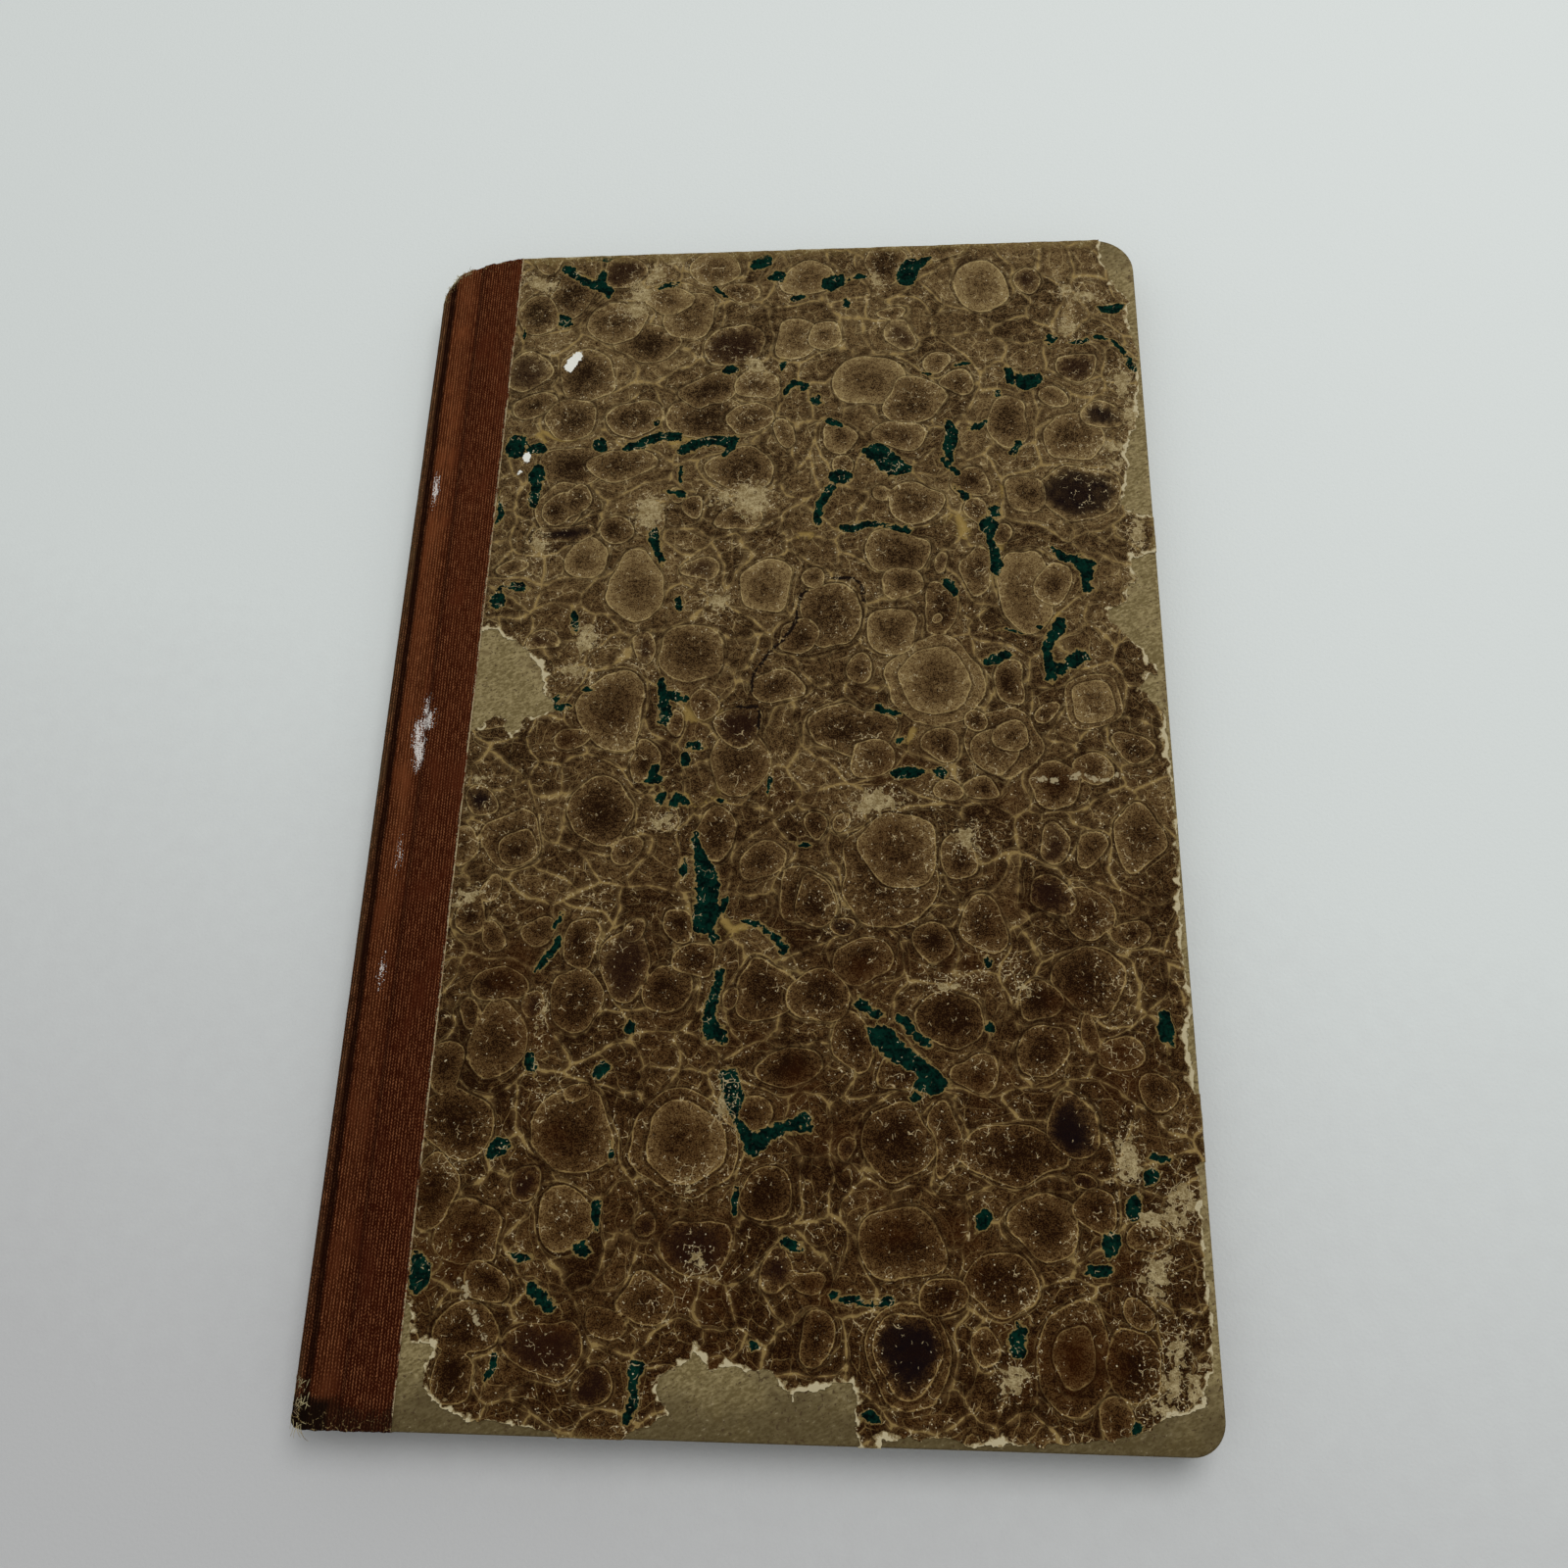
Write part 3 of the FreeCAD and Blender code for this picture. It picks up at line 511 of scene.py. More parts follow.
# Creases where the sheet cracked, half width and points.
PALE_CREASES = [
    (0.5, 0.5, [(70.5, -9), (75, -9.5), (81, -8.5), (87, -9.3), (92.5, -7), (99.5, -7)]),
    (0.5, 0.4, [(-68, -135), (-60, -146)]),
]
DARK_CRACKS = [
    (0.4, 0.3, [(10, 47), (2, 34), (-4.7, 21), (-4.7, 17.5)]),
    (0.5, 0.4, [(-9, 13.6), (-4.7, 12), (-3.5, 7.5), (-2.5, 6)]),
    (0.4, 0.3, [(16, 51), (24, 50), (26, 44)]),
]
# Small drops thrown between the others: tries, least room, least and greatest half size.
SMALL_DROPS = (130, 3.0, (2.6, 6.5))


# smooth unevenness between about -1 and 1, the same on every run
def ripple(points, size, layer):
    return np.array([noise.noise((x / size, y / size, layer)) for x, y in points[:, :2]])


# distance to an ellipse's outline, less than nothing inside it
def drop_distance(points, drop):
    across, up, wide, tall = drop
    reach = np.hypot((points[:, 0] - across) / wide, (points[:, 1] - up) / tall)
    return (reach - 1) * math.sqrt(wide * tall)


# distance to the edge of a streak that follows straight runs and changes width
def streak_distance(points, streak):
    first_half, last_half, route = streak
    best = np.full(len(points), 1e9)
    for index in range(len(route) - 1):
        start = np.array(route[index], float)
        run = np.array(route[index + 1], float) - start
        share = np.clip((points - start) @ run / (run @ run), 0, 1)
        away = np.linalg.norm(points - start - share[:, None] * run, axis=1)
        whole = (index + share) / (len(route) - 1)
        best = np.minimum(best, away - first_half - (last_half - first_half) * whole)
    return best


# small drops that fill what the large ones leave
def with_small_drops(drops, seed, tries, gap, sizes):
    pick = np.random.default_rng(seed)
    drops = list(drops)
    for _ in range(tries):
        spot = pick.uniform((paper_low[0], paper_low[1]), (paper_high[0], paper_high[1]))
        size = pick.uniform(*sizes)
        squash = pick.uniform(0.75, 1.3)
        room_left = min((drop_distance(spot[None, :], drop)[0] for drop in drops), default=99.0)
        if room_left > gap:
            size = min(size, room_left * 0.9)
            drops.append((spot[0], spot[1], size * squash, size / squash))
    return drops


# the drops in layers, larger ones below, so that no two in one layer touch
def in_layers(drops):
    layers = [[] for _ in range(LAYERS)]
    for drop in sorted(drops, key=lambda drop: -drop[2] * drop[3]):
        spot, size = np.array([drop[:2]]), min(drop[2], drop[3])
        over = [
            level
            for level, layer in enumerate(layers)
            if any(drop_distance(spot, other)[0] < size + 0.5 for other in layer)
        ]
        layers[min(max(over, default=-1) + 1, LAYERS - 1)].append(drop)
    return layers


# where the paint at each point floated before the drops pushed it aside
def before_drops(points, drops):
    pushed = np.zeros_like(points)
    for drop in drops:
        centre, half = np.array(drop[:2]), np.array(drop[2:])
        away = (points - centre) / half
        reach = np.maximum((away**2).sum(1), 1e-6)
        pushed += (np.sqrt(np.maximum(1 - 1 / reach, 0)) - 1)[:, None] * away * half
    return points + pushed


LIGHT_TONE = 1.6


# every field of the marbling at the given points of a flat sheet
def marbling(points, drops, special, seed):
    pick = np.random.default_rng(seed)
    warp = np.stack([ripple(points, 10.0, 3.1), ripple(points, 10.0, 7.7)], 1) * 2.8
    warp += np.stack([ripple(points, 4.2, 5.3), ripple(points, 4.2, 9.9)], 1) * 0.5
    bent = points + warp
    count = len(points)
    fields = {"flow": np.column_stack([before_drops(bent, drops), np.zeros(count)])}
    anywhere = np.full(count, NOWHERE_NEAR)
    for level, layer in enumerate(in_layers([*drops, *special.get("rings", ())])):
        rim, tone, heart = np.full(count, 12.0), np.zeros(count), np.zeros(count)
        for drop in layer:
            away = drop_distance(bent, drop)
            shade = LIGHT_TONE if drop in special.get("light", ()) else pick.uniform(-1, 1)
            nearest = away < rim
            tone[nearest] = shade
            heart[nearest] = np.clip(-away[nearest] / math.sqrt(drop[2] * drop[3]), -0.5, 1)
            rim = np.minimum(rim, away)
        fields |= {f"rim_{level}": rim, f"tone_{level}": tone, f"heart_{level}": heart}
        anywhere = np.minimum(anywhere, rim)
    for name in ("dark", "black", "green", "pale", "ochre", "fleck"):
        shapes = [drop_distance(bent, drop) for drop in special.get(name, ())]
        fields[name] = np.min(shapes, axis=0) if shapes else np.full(count, NOWHERE_NEAR)
    for name in ("green", "crease", "crack"):
        shapes = [streak_distance(bent, streak) for streak in special.get(f"{name}_streaks", ())]
        streaks = np.min(shapes, axis=0) if shapes else np.full(count, NOWHERE_NEAR)
        fields[name] = np.minimum(fields.get(name, streaks), streaks)
    # green lies between the drops and takes their hollow outlines
    fields["green"] += np.clip(-anywhere, 0, 3) * 0.5 - 0.35
    return fields


def marbled_paper(name):
    finish = Finish(name)
    sheet = finish.stored("sheet", "Vector")
    low_end = finish.axis(sheet, "Y").rise(150.0, -150.0)
    broad = finish.mottle(sheet, 16.0, 2.0)
    soft = finish.mottle(sheet, 2.8, 3.0)
    fine = finish.mottle(sheet, 0.8, 3.0)
    dust = finish.mottle(sheet, 0.34, 2.0)
    ragged = finish.mottle(sheet, 1.6, 5.0)
    mottling = broad * 0.45 + soft * 0.6 + ragged * 0.5 + fine * 0.8 + dust * 1.6 - low_end * 0.2
    patchy = (broad * 0.6 + soft * 1.2 + 0.5).rise(0.0, 0.9)
    deep = finish.mix(paint(28, 16, 6), paint(25, 9, 2), low_end)
    middle = finish.mix(paint(89, 69, 42), paint(66, 44, 20), low_end)
    light = finish.mix(paint(134, 114, 76), paint(112, 88, 53), low_end)
    line = finish.mix(paint(172, 151, 104), paint(150, 124, 76), low_end)

    # a brown of the sheet at a tone, 0 dark to 1 light
    def brown(tone):
        below = finish.mix(deep, middle, tone.rise(-0.25, 0.5))
        return finish.mix(below, light, tone.rise(0.45, 1.25))

    # squeezed cells between the drops, with thin ochre veins that run along the drops' outlines
    flow = finish.shaken(finish.stored("flow", "Vector"), 9.0, 4.4)
    cell_tone = finish.cells(flow, 10.5, "F1", "Color")
    colour = brown(mottling + cell_tone * 0.5 + 0.12)
    vein = finish.cells(flow, 10.5, "DISTANCE_TO_EDGE") * 10.5 + fine * 0.25
    hair = finish.cells(finish.shaken(flow, 3.0, 1.2), 4.6, "DISTANCE_TO_EDGE") * 4.6 + fine * 0.12
    colour = finish.mix(colour, light, vein.rise(1.4, 0.1) * patchy * 0.45)
    colour = finish.mix(colour, deep, (vein - 1.6).rise(0.5, -0.1) * vein.rise(0.4, 0.9) * 0.3)
    colour = finish.mix(colour, line, hair.rise(0.16, 0.04) * patchy * 0.45)
    vein_width = (soft + broad + 0.5).rise(0.2, 1.0) * 0.36 + 0.05
    drawn = (vein - vein_width).rise(0.08, -0.1)
    colour = finish.mix(colour, paint(142, 119, 72), drawn * (patchy * 0.5 + 0.2))
    ochre = (finish.stored("ochre") + fine * 2.0 + soft * 4.0).rise(0.6, -0.8)
    colour = finish.mix(colour, paint(138, 114, 62), ochre * vein.rise(2.2, 0.6) * 0.8)

    # three layers of drops: a thin tan outline, a paler rim inside it and a darker heart
    for level in range(LAYERS):
        rim = finish.stored(f"rim_{level}") + fine * 0.3 + soft * 0.22
        heart = (finish.stored(f"heart_{level}") + soft * 0.5 + fine * 0.3).rise(0.1, 0.85)
        rings = (rim * 1.9 + soft * 2.5).wave() * 0.07
        halo = rim.rise(-2.6, -0.2) * 0.3
        tone = finish.stored(f"tone_{level}") * 0.2 + mottling + rings + halo - heart * 0.38 + 0.44
        colour = finish.mix(colour, deep, rim.rise(1.5, 0.1) * 0.4)
        colour = finish.mix(colour, brown(tone), rim.rise(0.1, -0.1))
        colour = finish.mix(colour, line, abs(rim).rise(0.24, 0.03) * (patchy * 0.76 + 0.08))
        echo = abs(rim - 0.9 - soft * 0.8).rise(0.26, 0.05)
        colour = finish.mix(colour, line, echo * patchy * 0.14)
    rusty = (finish.mottle(sheet, 23.0, 2.0) + soft * 0.3).rise(0.0, 0.5) * low_end
    colour = finish.mix(colour, paint(52, 20, 0), rusty * 0.4)
    dark = (finish.stored("dark") + soft * 3.0 + ragged * 2.0).rise(0.6, -3.0)
    colour = finish.mix(colour, paint(30, 14, 9), dark * 0.56)
    black = (finish.stored("black") + soft * 3.0 + ragged * 2.0).rise(0.6, -3.6)
    colour = finish.mix(colour, paint(15, 7, 8), black * (soft * 0.5 + fine * 0.4 + 0.82))
    # green, with a thin tan border
    green = finish.stored("green") + ragged * 1.5 + soft * 0.9
    colour = finish.mix(colour, paint(134, 112, 66), green.rise(0.6, 0.2) * 0.6)
    green_paint = finish.mix(paint(0, 7, 6), paint(3, 38, 28), (soft + fine + 0.5).rise(0.0, 1.0))
    colour = finish.mix(colour, green_paint, green.rise(0.12, -0.06))
    colour = finish.mix(colour, paint(20, 12, 8), (finish.stored("crack") + fine * 0.7).rise(0.3, 0.0))
    # dark dots, and the fine pale fibres and flakes that rubbing has raised
    colour = finish.mix(colour, paint(14, 7, 2), (dust + fine * 0.5).rise(0.16, 0.5) * 0.6)
    pale = finish.stored("pale")
    worn = broad * 0.45 + soft * 0.55 + pale.rise(6.0, 0.0) * 0.3
    scratches = 0.0
    for size, amount in ((1.9, 2.2), (3.4, 3.2)):
        tangled = finish.shaken(sheet, size, amount)
        thread = finish.cells(tangled, size, "DISTANCE_TO_EDGE") * size
        kept = (finish.mottle(sheet, 0.9 * size, 2.0) + worn).rise(0.2, 0.36)
        scratches = thread.rise(0.11, 0.03) * kept + scratches
    colour = finish.mix(colour, paint(176, 157, 118), scratches * 0.7)
    flake = finish.cells(sheet, 1.4) * 1.4 + fine * 0.3
    flake = flake.rise(0.2, 0.1) * (finish.mottle(sheet, 2.2, 2.0) + worn).rise(0.24, 0.34)
    colour = finish.mix(colour, paint(188, 174, 142), flake * 0.85)
    # rubbed places: the sheet's own paper shows
    rubbed = (pale.most(-1.6) + ragged * 5.5 + soft * 3.4).rise(0.0, -0.5)
    specks = (soft * 0.7 + ragged * 0.8 + broad * 0.5).rise(0.56, 0.62)
    bare = finish.mix(paint(116, 98, 64), paint(166, 150, 112), (fine + dust + soft + 0.5).rise(0.0, 1.0))
    colour = finish.mix(colour, bare, (rubbed * 0.9).most(specks * 0.7))
    crease = (finish.stored("crease") + fine * 1.2 + soft * 2.0 + 0.25).rise(0.3, -0.05)
    colour = finish.mix(colour, paint(158, 144, 112), crease * 0.8)
    fleck = (finish.stored("fleck") + fine * 1.0).rise(0.15, 0.0)
    colour = finish.mix(colour, paint(214, 213, 204), fleck)
    # worn fold at the board's edges
    fold = finish.stored("fold") + fine * 1.8 + soft * 2.4 + broad * 2.0
    colour = finish.mix(colour, paint(106, 88, 52), fold.rise(1.6, 0.4) * 0.8)
    colour = finish.mix(colour, paint(158, 144, 108), (fold + dust * 2.5).rise(0.1, -0.5) * 0.75)
    # pale fibres along the torn edges, wide in some places and missing in others
    torn = finish.stored("torn") + ragged * 1.4 + soft * 2.4 + broad * 3.4
    colour = finish.mix(colour, bare, torn.rise(0.6, 0.3) * 0.8)
    colour = finish.mix(colour, paint(180, 168, 136), torn.rise(0.15, -0.05) * 0.85)
    height = scratches * 0.3 + fine * 0.6 + dust * 0.4 - rubbed * 0.5 + soft * 0.4
    return finish.dress(colour, 0.8 + fine * 0.15 + rubbed * 0.15, height, 0.00012, 0.02)


# distance in from the board's outline, and the way straight out of it, in plan
def to_outline(points):
    gaps = np.stack(
        [paper_high[0] - points[:, 0], paper_high[1] - points[:, 1], points[:, 1] - paper_low[1]]
    )
    inward = gaps.min(0)
    out = np.array([(1, 0), (0, 1), (0, -1)], float)[gaps.argmin(0)]
    for end, radius in ((1, HEAD_CORNER), (-1, TAIL_CORNER)):
        centre = np.array([paper_high[0] - radius, end * (paper_high[1] - radius)])
        away = points - centre
        reach = np.linalg.norm(away, axis=1)
        corner = (away[:, 0] > 0) & (away[:, 1] * end > 0)
        inward[corner] = radius - reach[corner]
        out[corner] = away[corner] / reach[corner, None]
    return inward, out


# edges of the paper's torn places, as the frame has them: two ends a row
def torn_edges():
    mesh = frame["nodes"]["front_side_paper"].data
    mesh.calc_loop_triangles()
    spots = np.array([vertex.co for vertex in mesh.vertices]) * 1000
    seen = {}
    for triangle in mesh.loop_triangles:
        ends = [tuple(spots[index].round(3)) for index in triangle.vertices]
        if all(abs(end[2] - paper_high[2]) < 0.01 for end in ends):
            for index in range(3):
                key = frozenset((ends[index], ends[(index + 1) % 3]))
                seen[key] = seen.get(key, 0) + 1
    rows = [sorted(key) for key, times in seen.items() if times == 1 and len(key) == 2]
    return np.array(rows)[:, :, :2]


paper_edges = torn_edges()
edge_middles = paper_edges.mean(1)
on_outline = to_outline(edge_middles)[0] < 0.03
on_cloth = edge_middles[:, 0] < paper_low[0] + 0.03
tear_lines = paper_edges[~(on_outline | on_cloth)]


# distance into the paper from its nearest tear, less than nothing where it is torn away
def into_paper(points):
    inward, out = to_outline(points)
    kept = points + out * np.minimum(inward - 0.1, 0)[:, None]
    kept[:, 0] = np.maximum(kept[:, 0], paper_low[0] + 0.1)
    nearest = np.full(len(kept), 1e3)
    for start, end in tear_lines:
        run = end - start
        share = np.clip((kept - start) @ run / (run @ run), 0, 1)
        nearest = np.minimum(nearest, np.linalg.norm(kept - start - share[:, None] * run, axis=1))
    crossings = np.zeros(len(kept), int)
    for (x0, y0), (x1, y1) in paper_edges:
        between = (y0 > kept[:, 1]) != (y1 > kept[:, 1])
        if between.any():
            meets = x0 + (kept[:, 1] - y0) * (x1 - x0) / (y1 - y0 if y1 != y0 else 1e-9)
            crossings += between & (kept[:, 0] < meets)
    signed = np.where(crossings % 2 == 1, nearest, -nearest)
    jagged = ripple(kept, 2.4, 11.5) * 0.75 + ripple(kept, 0.9, 21.5) * 0.45
    wrapped = -inward > sheet_reach - TURN_IN_SHOWN - 0.2
    return np.where(wrapped, 5.0, signed + jagged)


# a flat sheet laid on a closed cover's outer face and folded round its edges
def folded(points):
    inward, out = to_outline(points)
    outline_spot = points + out * inward[:, None]
    rough = ripple(outline_spot, 7.0, 2.5) * 0.12 + ripple(outline_spot, 1.6, 4.5) * 0.07 - 0.12
    rough *= np.where(out[:, 1] > 0.5, 2.4, 1.0)
    reach = np.minimum(-inward, sheet_reach)
    travel = reach + FOLD_ROUND
    over = np.clip(travel / FOLD_ROUND, 0, math.pi / 2)
    down = np.clip(travel - quarter, 0, side_run)
    under = np.clip((travel - quarter - side_run) / FOLD_ROUND, 0, math.pi / 2)
    back = np.maximum(travel - 2 * quarter - side_run, 0)
    out_by = FOLD_ROUND * (np.sin(over) - 1) - FOLD_ROUND * (1 - np.cos(under)) - back
    out_by = np.where(travel < 0, reach, out_by) + rough * np.clip(travel / FOLD_ROUND, 0, 1)
    drop = FOLD_ROUND * (1 - np.cos(over)) + down + FOLD_ROUND * np.sin(under)
    waviness = (ripple(points, 17.0, 6.5) * 0.05 + ripple(points, 4.0, 8.5) * 0.03) * (travel < 0)
    spots = outline_spot + out * out_by[:, None]
    level = paper_high[2] - PAPER_DROP - drop + np.minimum(waviness, 0.04)
    return np.column_stack([spots, level])


# a flat grid whose lines run at the given places
def ruled_grid(name, x_lines, y_lines):
    bpy.ops.object.select_all(action="DESELECT")
    bpy.ops.mesh.primitive_grid_add(
        x_subdivisions=len(x_lines) - 1, y_subdivisions=len(y_lines) - 1, size=1.0
    )
    grid = bpy.context.object
    grid.name = name
    spots = mesh_points(grid)
    spots[:, 0] = np.interp(spots[:, 0] + 0.5, np.linspace(0, 1, len(x_lines)), x_lines)
    spots[:, 1] = np.interp(spots[:, 1] + 0.5, np.linspace(0, 1, len(y_lines)), y_lines)
    place_points(grid, spots)
    return grid


def mesh_points(piece):
    spots = np.empty(len(piece.data.vertices) * 3)
    piece.data.vertices.foreach_get("co", spots)
    return spots.reshape(-1, 3)


def place_points(piece, spots):
    piece.data.vertices.foreach_set("co", spots.ravel())
    piece.data.update()


def store(piece, name, values):
    kind, key = ("FLOAT", "value") if values.ndim == 1 else ("FLOAT_VECTOR", "vector")
    attribute = piece.data.attributes.new(name, kind, "POINT")
    attribute.data.foreach_set(key, values.astype(np.float32).ravel())


# selects the faces that a test on their middles picks, and leaves edit mode open on them
def pick_faces(piece, chosen):
    activate(piece)
    bpy.ops.object.mode_set(mode="EDIT")
    bpy.ops.mesh.select_mode(type="FACE")
    bpy.ops.mesh.select_all(action="DESELECT")
    bpy.ops.object.mode_set(mode="OBJECT")
    piece.data.polygons.foreach_set("select", chosen)
    bpy.ops.object.mode_set(mode="EDIT")


def face_middles(piece):
    middles = np.empty(len(piece.data.polygons) * 3)
    piece.data.polygons.foreach_get("center", middles)
    return middles.reshape(-1, 3)


# a closed sheet; its hidden side may keep fewer faces than the side that shows
def thicken(piece, thickness, hidden_share=1.0):
    activate(piece)
    shown = len(piece.data.polygons)
    solid = piece.modifiers.new("thickness", "SOLIDIFY")
    solid.thickness = thickness
    solid.offset = -1.0
    bpy.ops.object.modifier_apply(modifier=solid.name)
    if hidden_share < 1:
        numbers = np.arange(len(piece.data.polygons))
        pick_faces(piece, (numbers >= shown) & (numbers < 2 * shown))
        bpy.ops.mesh.decimate(ratio=hidden_share)
        bpy.ops.object.mode_set(mode="OBJECT")
    bpy.ops.object.shade_smooth_by_angle(angle=math.radians(35))


# one side paper: a flat grid, finer where it folds, cut, given its fields and folded on the board
def side_paper(name, drops, special, seed, torn, front):
    near_fold = paper_high[0] - FINE_BAND
    end_fold = paper_high[1] - FINE_BAND
    turned_under = FINE_BAND + sheet_reach - TURN_IN_SHOWN
    over_edge = np.arange(0, turned_under, FINE)
    past = np.concatenate(
        [over_edge, np.arange(turned_under, FINE_BAND + sheet_reach + 1, HIDDEN)]
    )
    on_face = np.arange(paper_low[0] - CLOTH_OVERLAP, near_fold, COARSE)
    x_lines = np.concatenate([on_face, near_fold + past])
    outer_lines = end_fold + past
    inner_lines = np.linspace(-end_fold, end_fold, int(2 * end_fold / COARSE))
    y_lines = np.concatenate([-outer_lines[::-1], inner_lines[1:-1], outer_lines])
    paper = ruled_grid(name, x_lines, y_lines)
    middles = face_middles(paper)[:, :2]
    pick_faces(paper, -to_outline(middles)[0] > sheet_reach + HIDDEN / 2)
    bpy.ops.mesh.delete(type="FACE")
    bpy.ops.object.mode_set(mode="OBJECT")
    if torn:
        pick_faces(paper, np.abs(into_paper(face_middles(paper)[:, :2])) < TEAR_BAND)
        bpy.ops.mesh.subdivide(number_cuts=1)
        bpy.ops.object.mode_set(mode="OBJECT")
        pick_faces(paper, into_paper(face_middles(paper)[:, :2]) < 0)
        bpy.ops.mesh.delete(type="FACE")
        bpy.ops.object.mode_set(mode="OBJECT")
        flat = mesh_points(paper)[:, :2]
        depth = into_paper(flat)
        # points next to a tear move onto it, down the slope of their distance to it
        steps = [into_paper(flat + way) - depth for way in ((TEAR_STEP, 0), (0, TEAR_STEP))]
        slope = np.stack(steps, 1) / TEAR_STEP
        steep = np.maximum((slope**2).sum(1), 0.3)
        shift = -slope * (depth / steep)[:, None]
        near = (np.abs(depth) < TEAR_SNAP) & (np.linalg.norm(shift, axis=1) < TEAR_REACH)
        flat[near] += shift[near]
        place_points(paper, np.column_stack([flat, np.zeros(len(flat))]))
    flat = mesh_points(paper)[:, :2]
    store(paper, "sheet", np.column_stack([flat, np.zeros(len(flat))]))
    for field, values in marbling(flat, drops, special, seed).items():
        store(paper, field, values)
    inward, out = to_outline(flat)
    store(paper, "fold", np.abs(inward) * np.where(out[:, 1] > 0.5, 0.5, 1.0))
    store(paper, "torn", into_paper(flat) if torn else np.full(len(flat), 9.0))
    spots = folded(flat)
    if not front:
        spots[:, 2] = book_high[2] - spots[:, 2]
    place_points(paper, spots / 1000)
    activate(paper)
    bpy.ops.object.mode_set(mode="EDIT")
    bpy.ops.mesh.select_all(action="SELECT")
    if not front:
        bpy.ops.mesh.flip_normals()
    bpy.ops.mesh.delete_loose()
    bpy.ops.object.mode_set(mode="OBJECT")
    thicken(paper, SHEET_THICK, HIDDEN_SHARE)
    paper.data.materials.append(marbled_paper(f"{name}_finish"))
    return paper


front_special = {
    "light": LIGHT_DROPS,
    "dark": DARK_DROPS,
    "black": BLACK_DROPS,
    "rings": OUTER_RINGS,
    "green": GREEN_DROPS,
    "green_streaks": GREEN_STREAKS,
    "pale": PALE_PLACES,
    "ochre": OCHRE_PLACES,
    "fleck": WHITE_FLECKS,
    "crease_streaks": PALE_CREASES,
    "crack_streaks": DARK_CRACKS,
}
large_drops = BROWN_DROPS + LIGHT_DROPS + DARK_DROPS + BLACK_DROPS
front_drops = with_small_drops(large_drops, 5, *SMALL_DROPS)
front_paper = side_paper("marbled_front", front_drops, front_special, 8, True, True)
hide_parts("front_side_paper")
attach(front_paper, "front_cover")

# Rear board and its side paper. The same board, and a second piece of the same sheet, rubbed by
# the shelf but whole.
rear_board = worn_board("rear_board", "worn_rear_board", board_material)
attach(rear_board, "rear_cover")
rear_drops = with_small_drops([], 21, 700, 7.0, (6.0, 10.0))
rear_drops = with_small_drops(rear_drops, 22, 900, 2.3, (2.4, 6.0))
rear_special = {
    "dark": rear_drops[5:60:9],
    "black": rear_drops[3:60:17],
    "light": rear_drops[1:60:7],
    "green": [(x + wide, y + tall, 2.6, 1.5) for x, y, wide, tall in rear_drops[::3]],
    "pale": [(x - wide, y, 3.0, 2.2) for x, y, wide, tall in rear_drops[2::9]],
}
rear_paper = side_paper("marbled_rear", rear_drops, rear_special, 9, False, False)
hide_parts("rear_side_paper")
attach(rear_paper, "rear_cover")

# Bookcloth. One strip of red-brown ribbed cloth, glued over the back, pressed into both joints
# and laid 25 mm onto the boards, its ends folded in. It is made as two halves that meet in the
# middle of the back. The head is worn away on a slant.
CLOTH_THICK = 0.00022
CLOTH_STEP = 0.42
CLOTH_ROW = 1.25
JOINT_FREE_AT = -94.3
JOINT_FIXED_AT = -92.6
WRAP_ALONG = [-0.31, -0.1, 0.0, 0.0, 0.0, -0.1, -0.31, -2.0, -7.0]
WRAP_DEPTH = [0.0, 0.06, 0.2, 0.5, 0.8, 0.94, 1.0, 1.0, 1.0]
# across from the outer face of the back, and up to the cloth's end at the head
WORN_HEAD = [(0.0, -16.5), (0.2, -15.5), (1.8, -11.4), (3.6, -8.2), (5.3, -5.7), (11.4, -2.4)]
WORN_HEAD += [(14.0, -2.3), (25.6, -0.1)]
# the rear half's joint end isn't worn
WORN_HEAD_REAR = [(x, y) for x, y in WORN_HEAD if x < 6] + [(11.0, -0.6), (13.0, -0.1)]
WORN_TAIL = [(0.0, 3.2), (0.6, 1.4), (2.0, 0.4), (3.5, 0.1), (30.0, 0.1)]
FREE_FOLD = 0.62
SLANT_FROM = 0.85
FRAYED_PAST = 160
WORN_REACH = 9

spine_low, spine_high = (np.array(corner) * 1000 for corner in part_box("spine_cloth"))
back_x = spine_low[0]
crest_z = spine_high[2]
book_top = book_high[2]
# outer face of the cloth, from the paper's edge over the joint and the ridge to mid back
SECTION = [
    (paper_low[0], book_top), (-86.0, book_top), (-91.2, book_top), (-92.6, book_top - 0.05),
    (-93.15, book_top - 0.3), (-93.45, book_top - 0.85), (-93.85, book_top - 1.25),
    (-94.6, book_top - 1.15), (-95.4, crest_z - 0.25), (-96.4, crest_z), (-98.2, crest_z + 0.05),
    (-102.4, crest_z + 0.02), (-103.9, crest_z - 0.1), (-104.8, crest_z - 0.55),
    (-105.35, crest_z - 1.4), (back_x, crest_z - 2.6), (back_x, crest_z - 4.2),
    (back_x, book_top / 2),
]


def rounded_line(points, times):
    for _ in range(times):
        near = points[:-1] * 0.75 + points[1:] * 0.25
        far = points[:-1] * 0.25 + points[1:] * 0.75
        points = np.concatenate([points[:1], np.stack([near, far], 1).reshape(-1, 2), points[-1:]])
    return points


RIB_PITCH = 0.77
THREAD_PITCH = 0.82
RAMP_REACH = 26


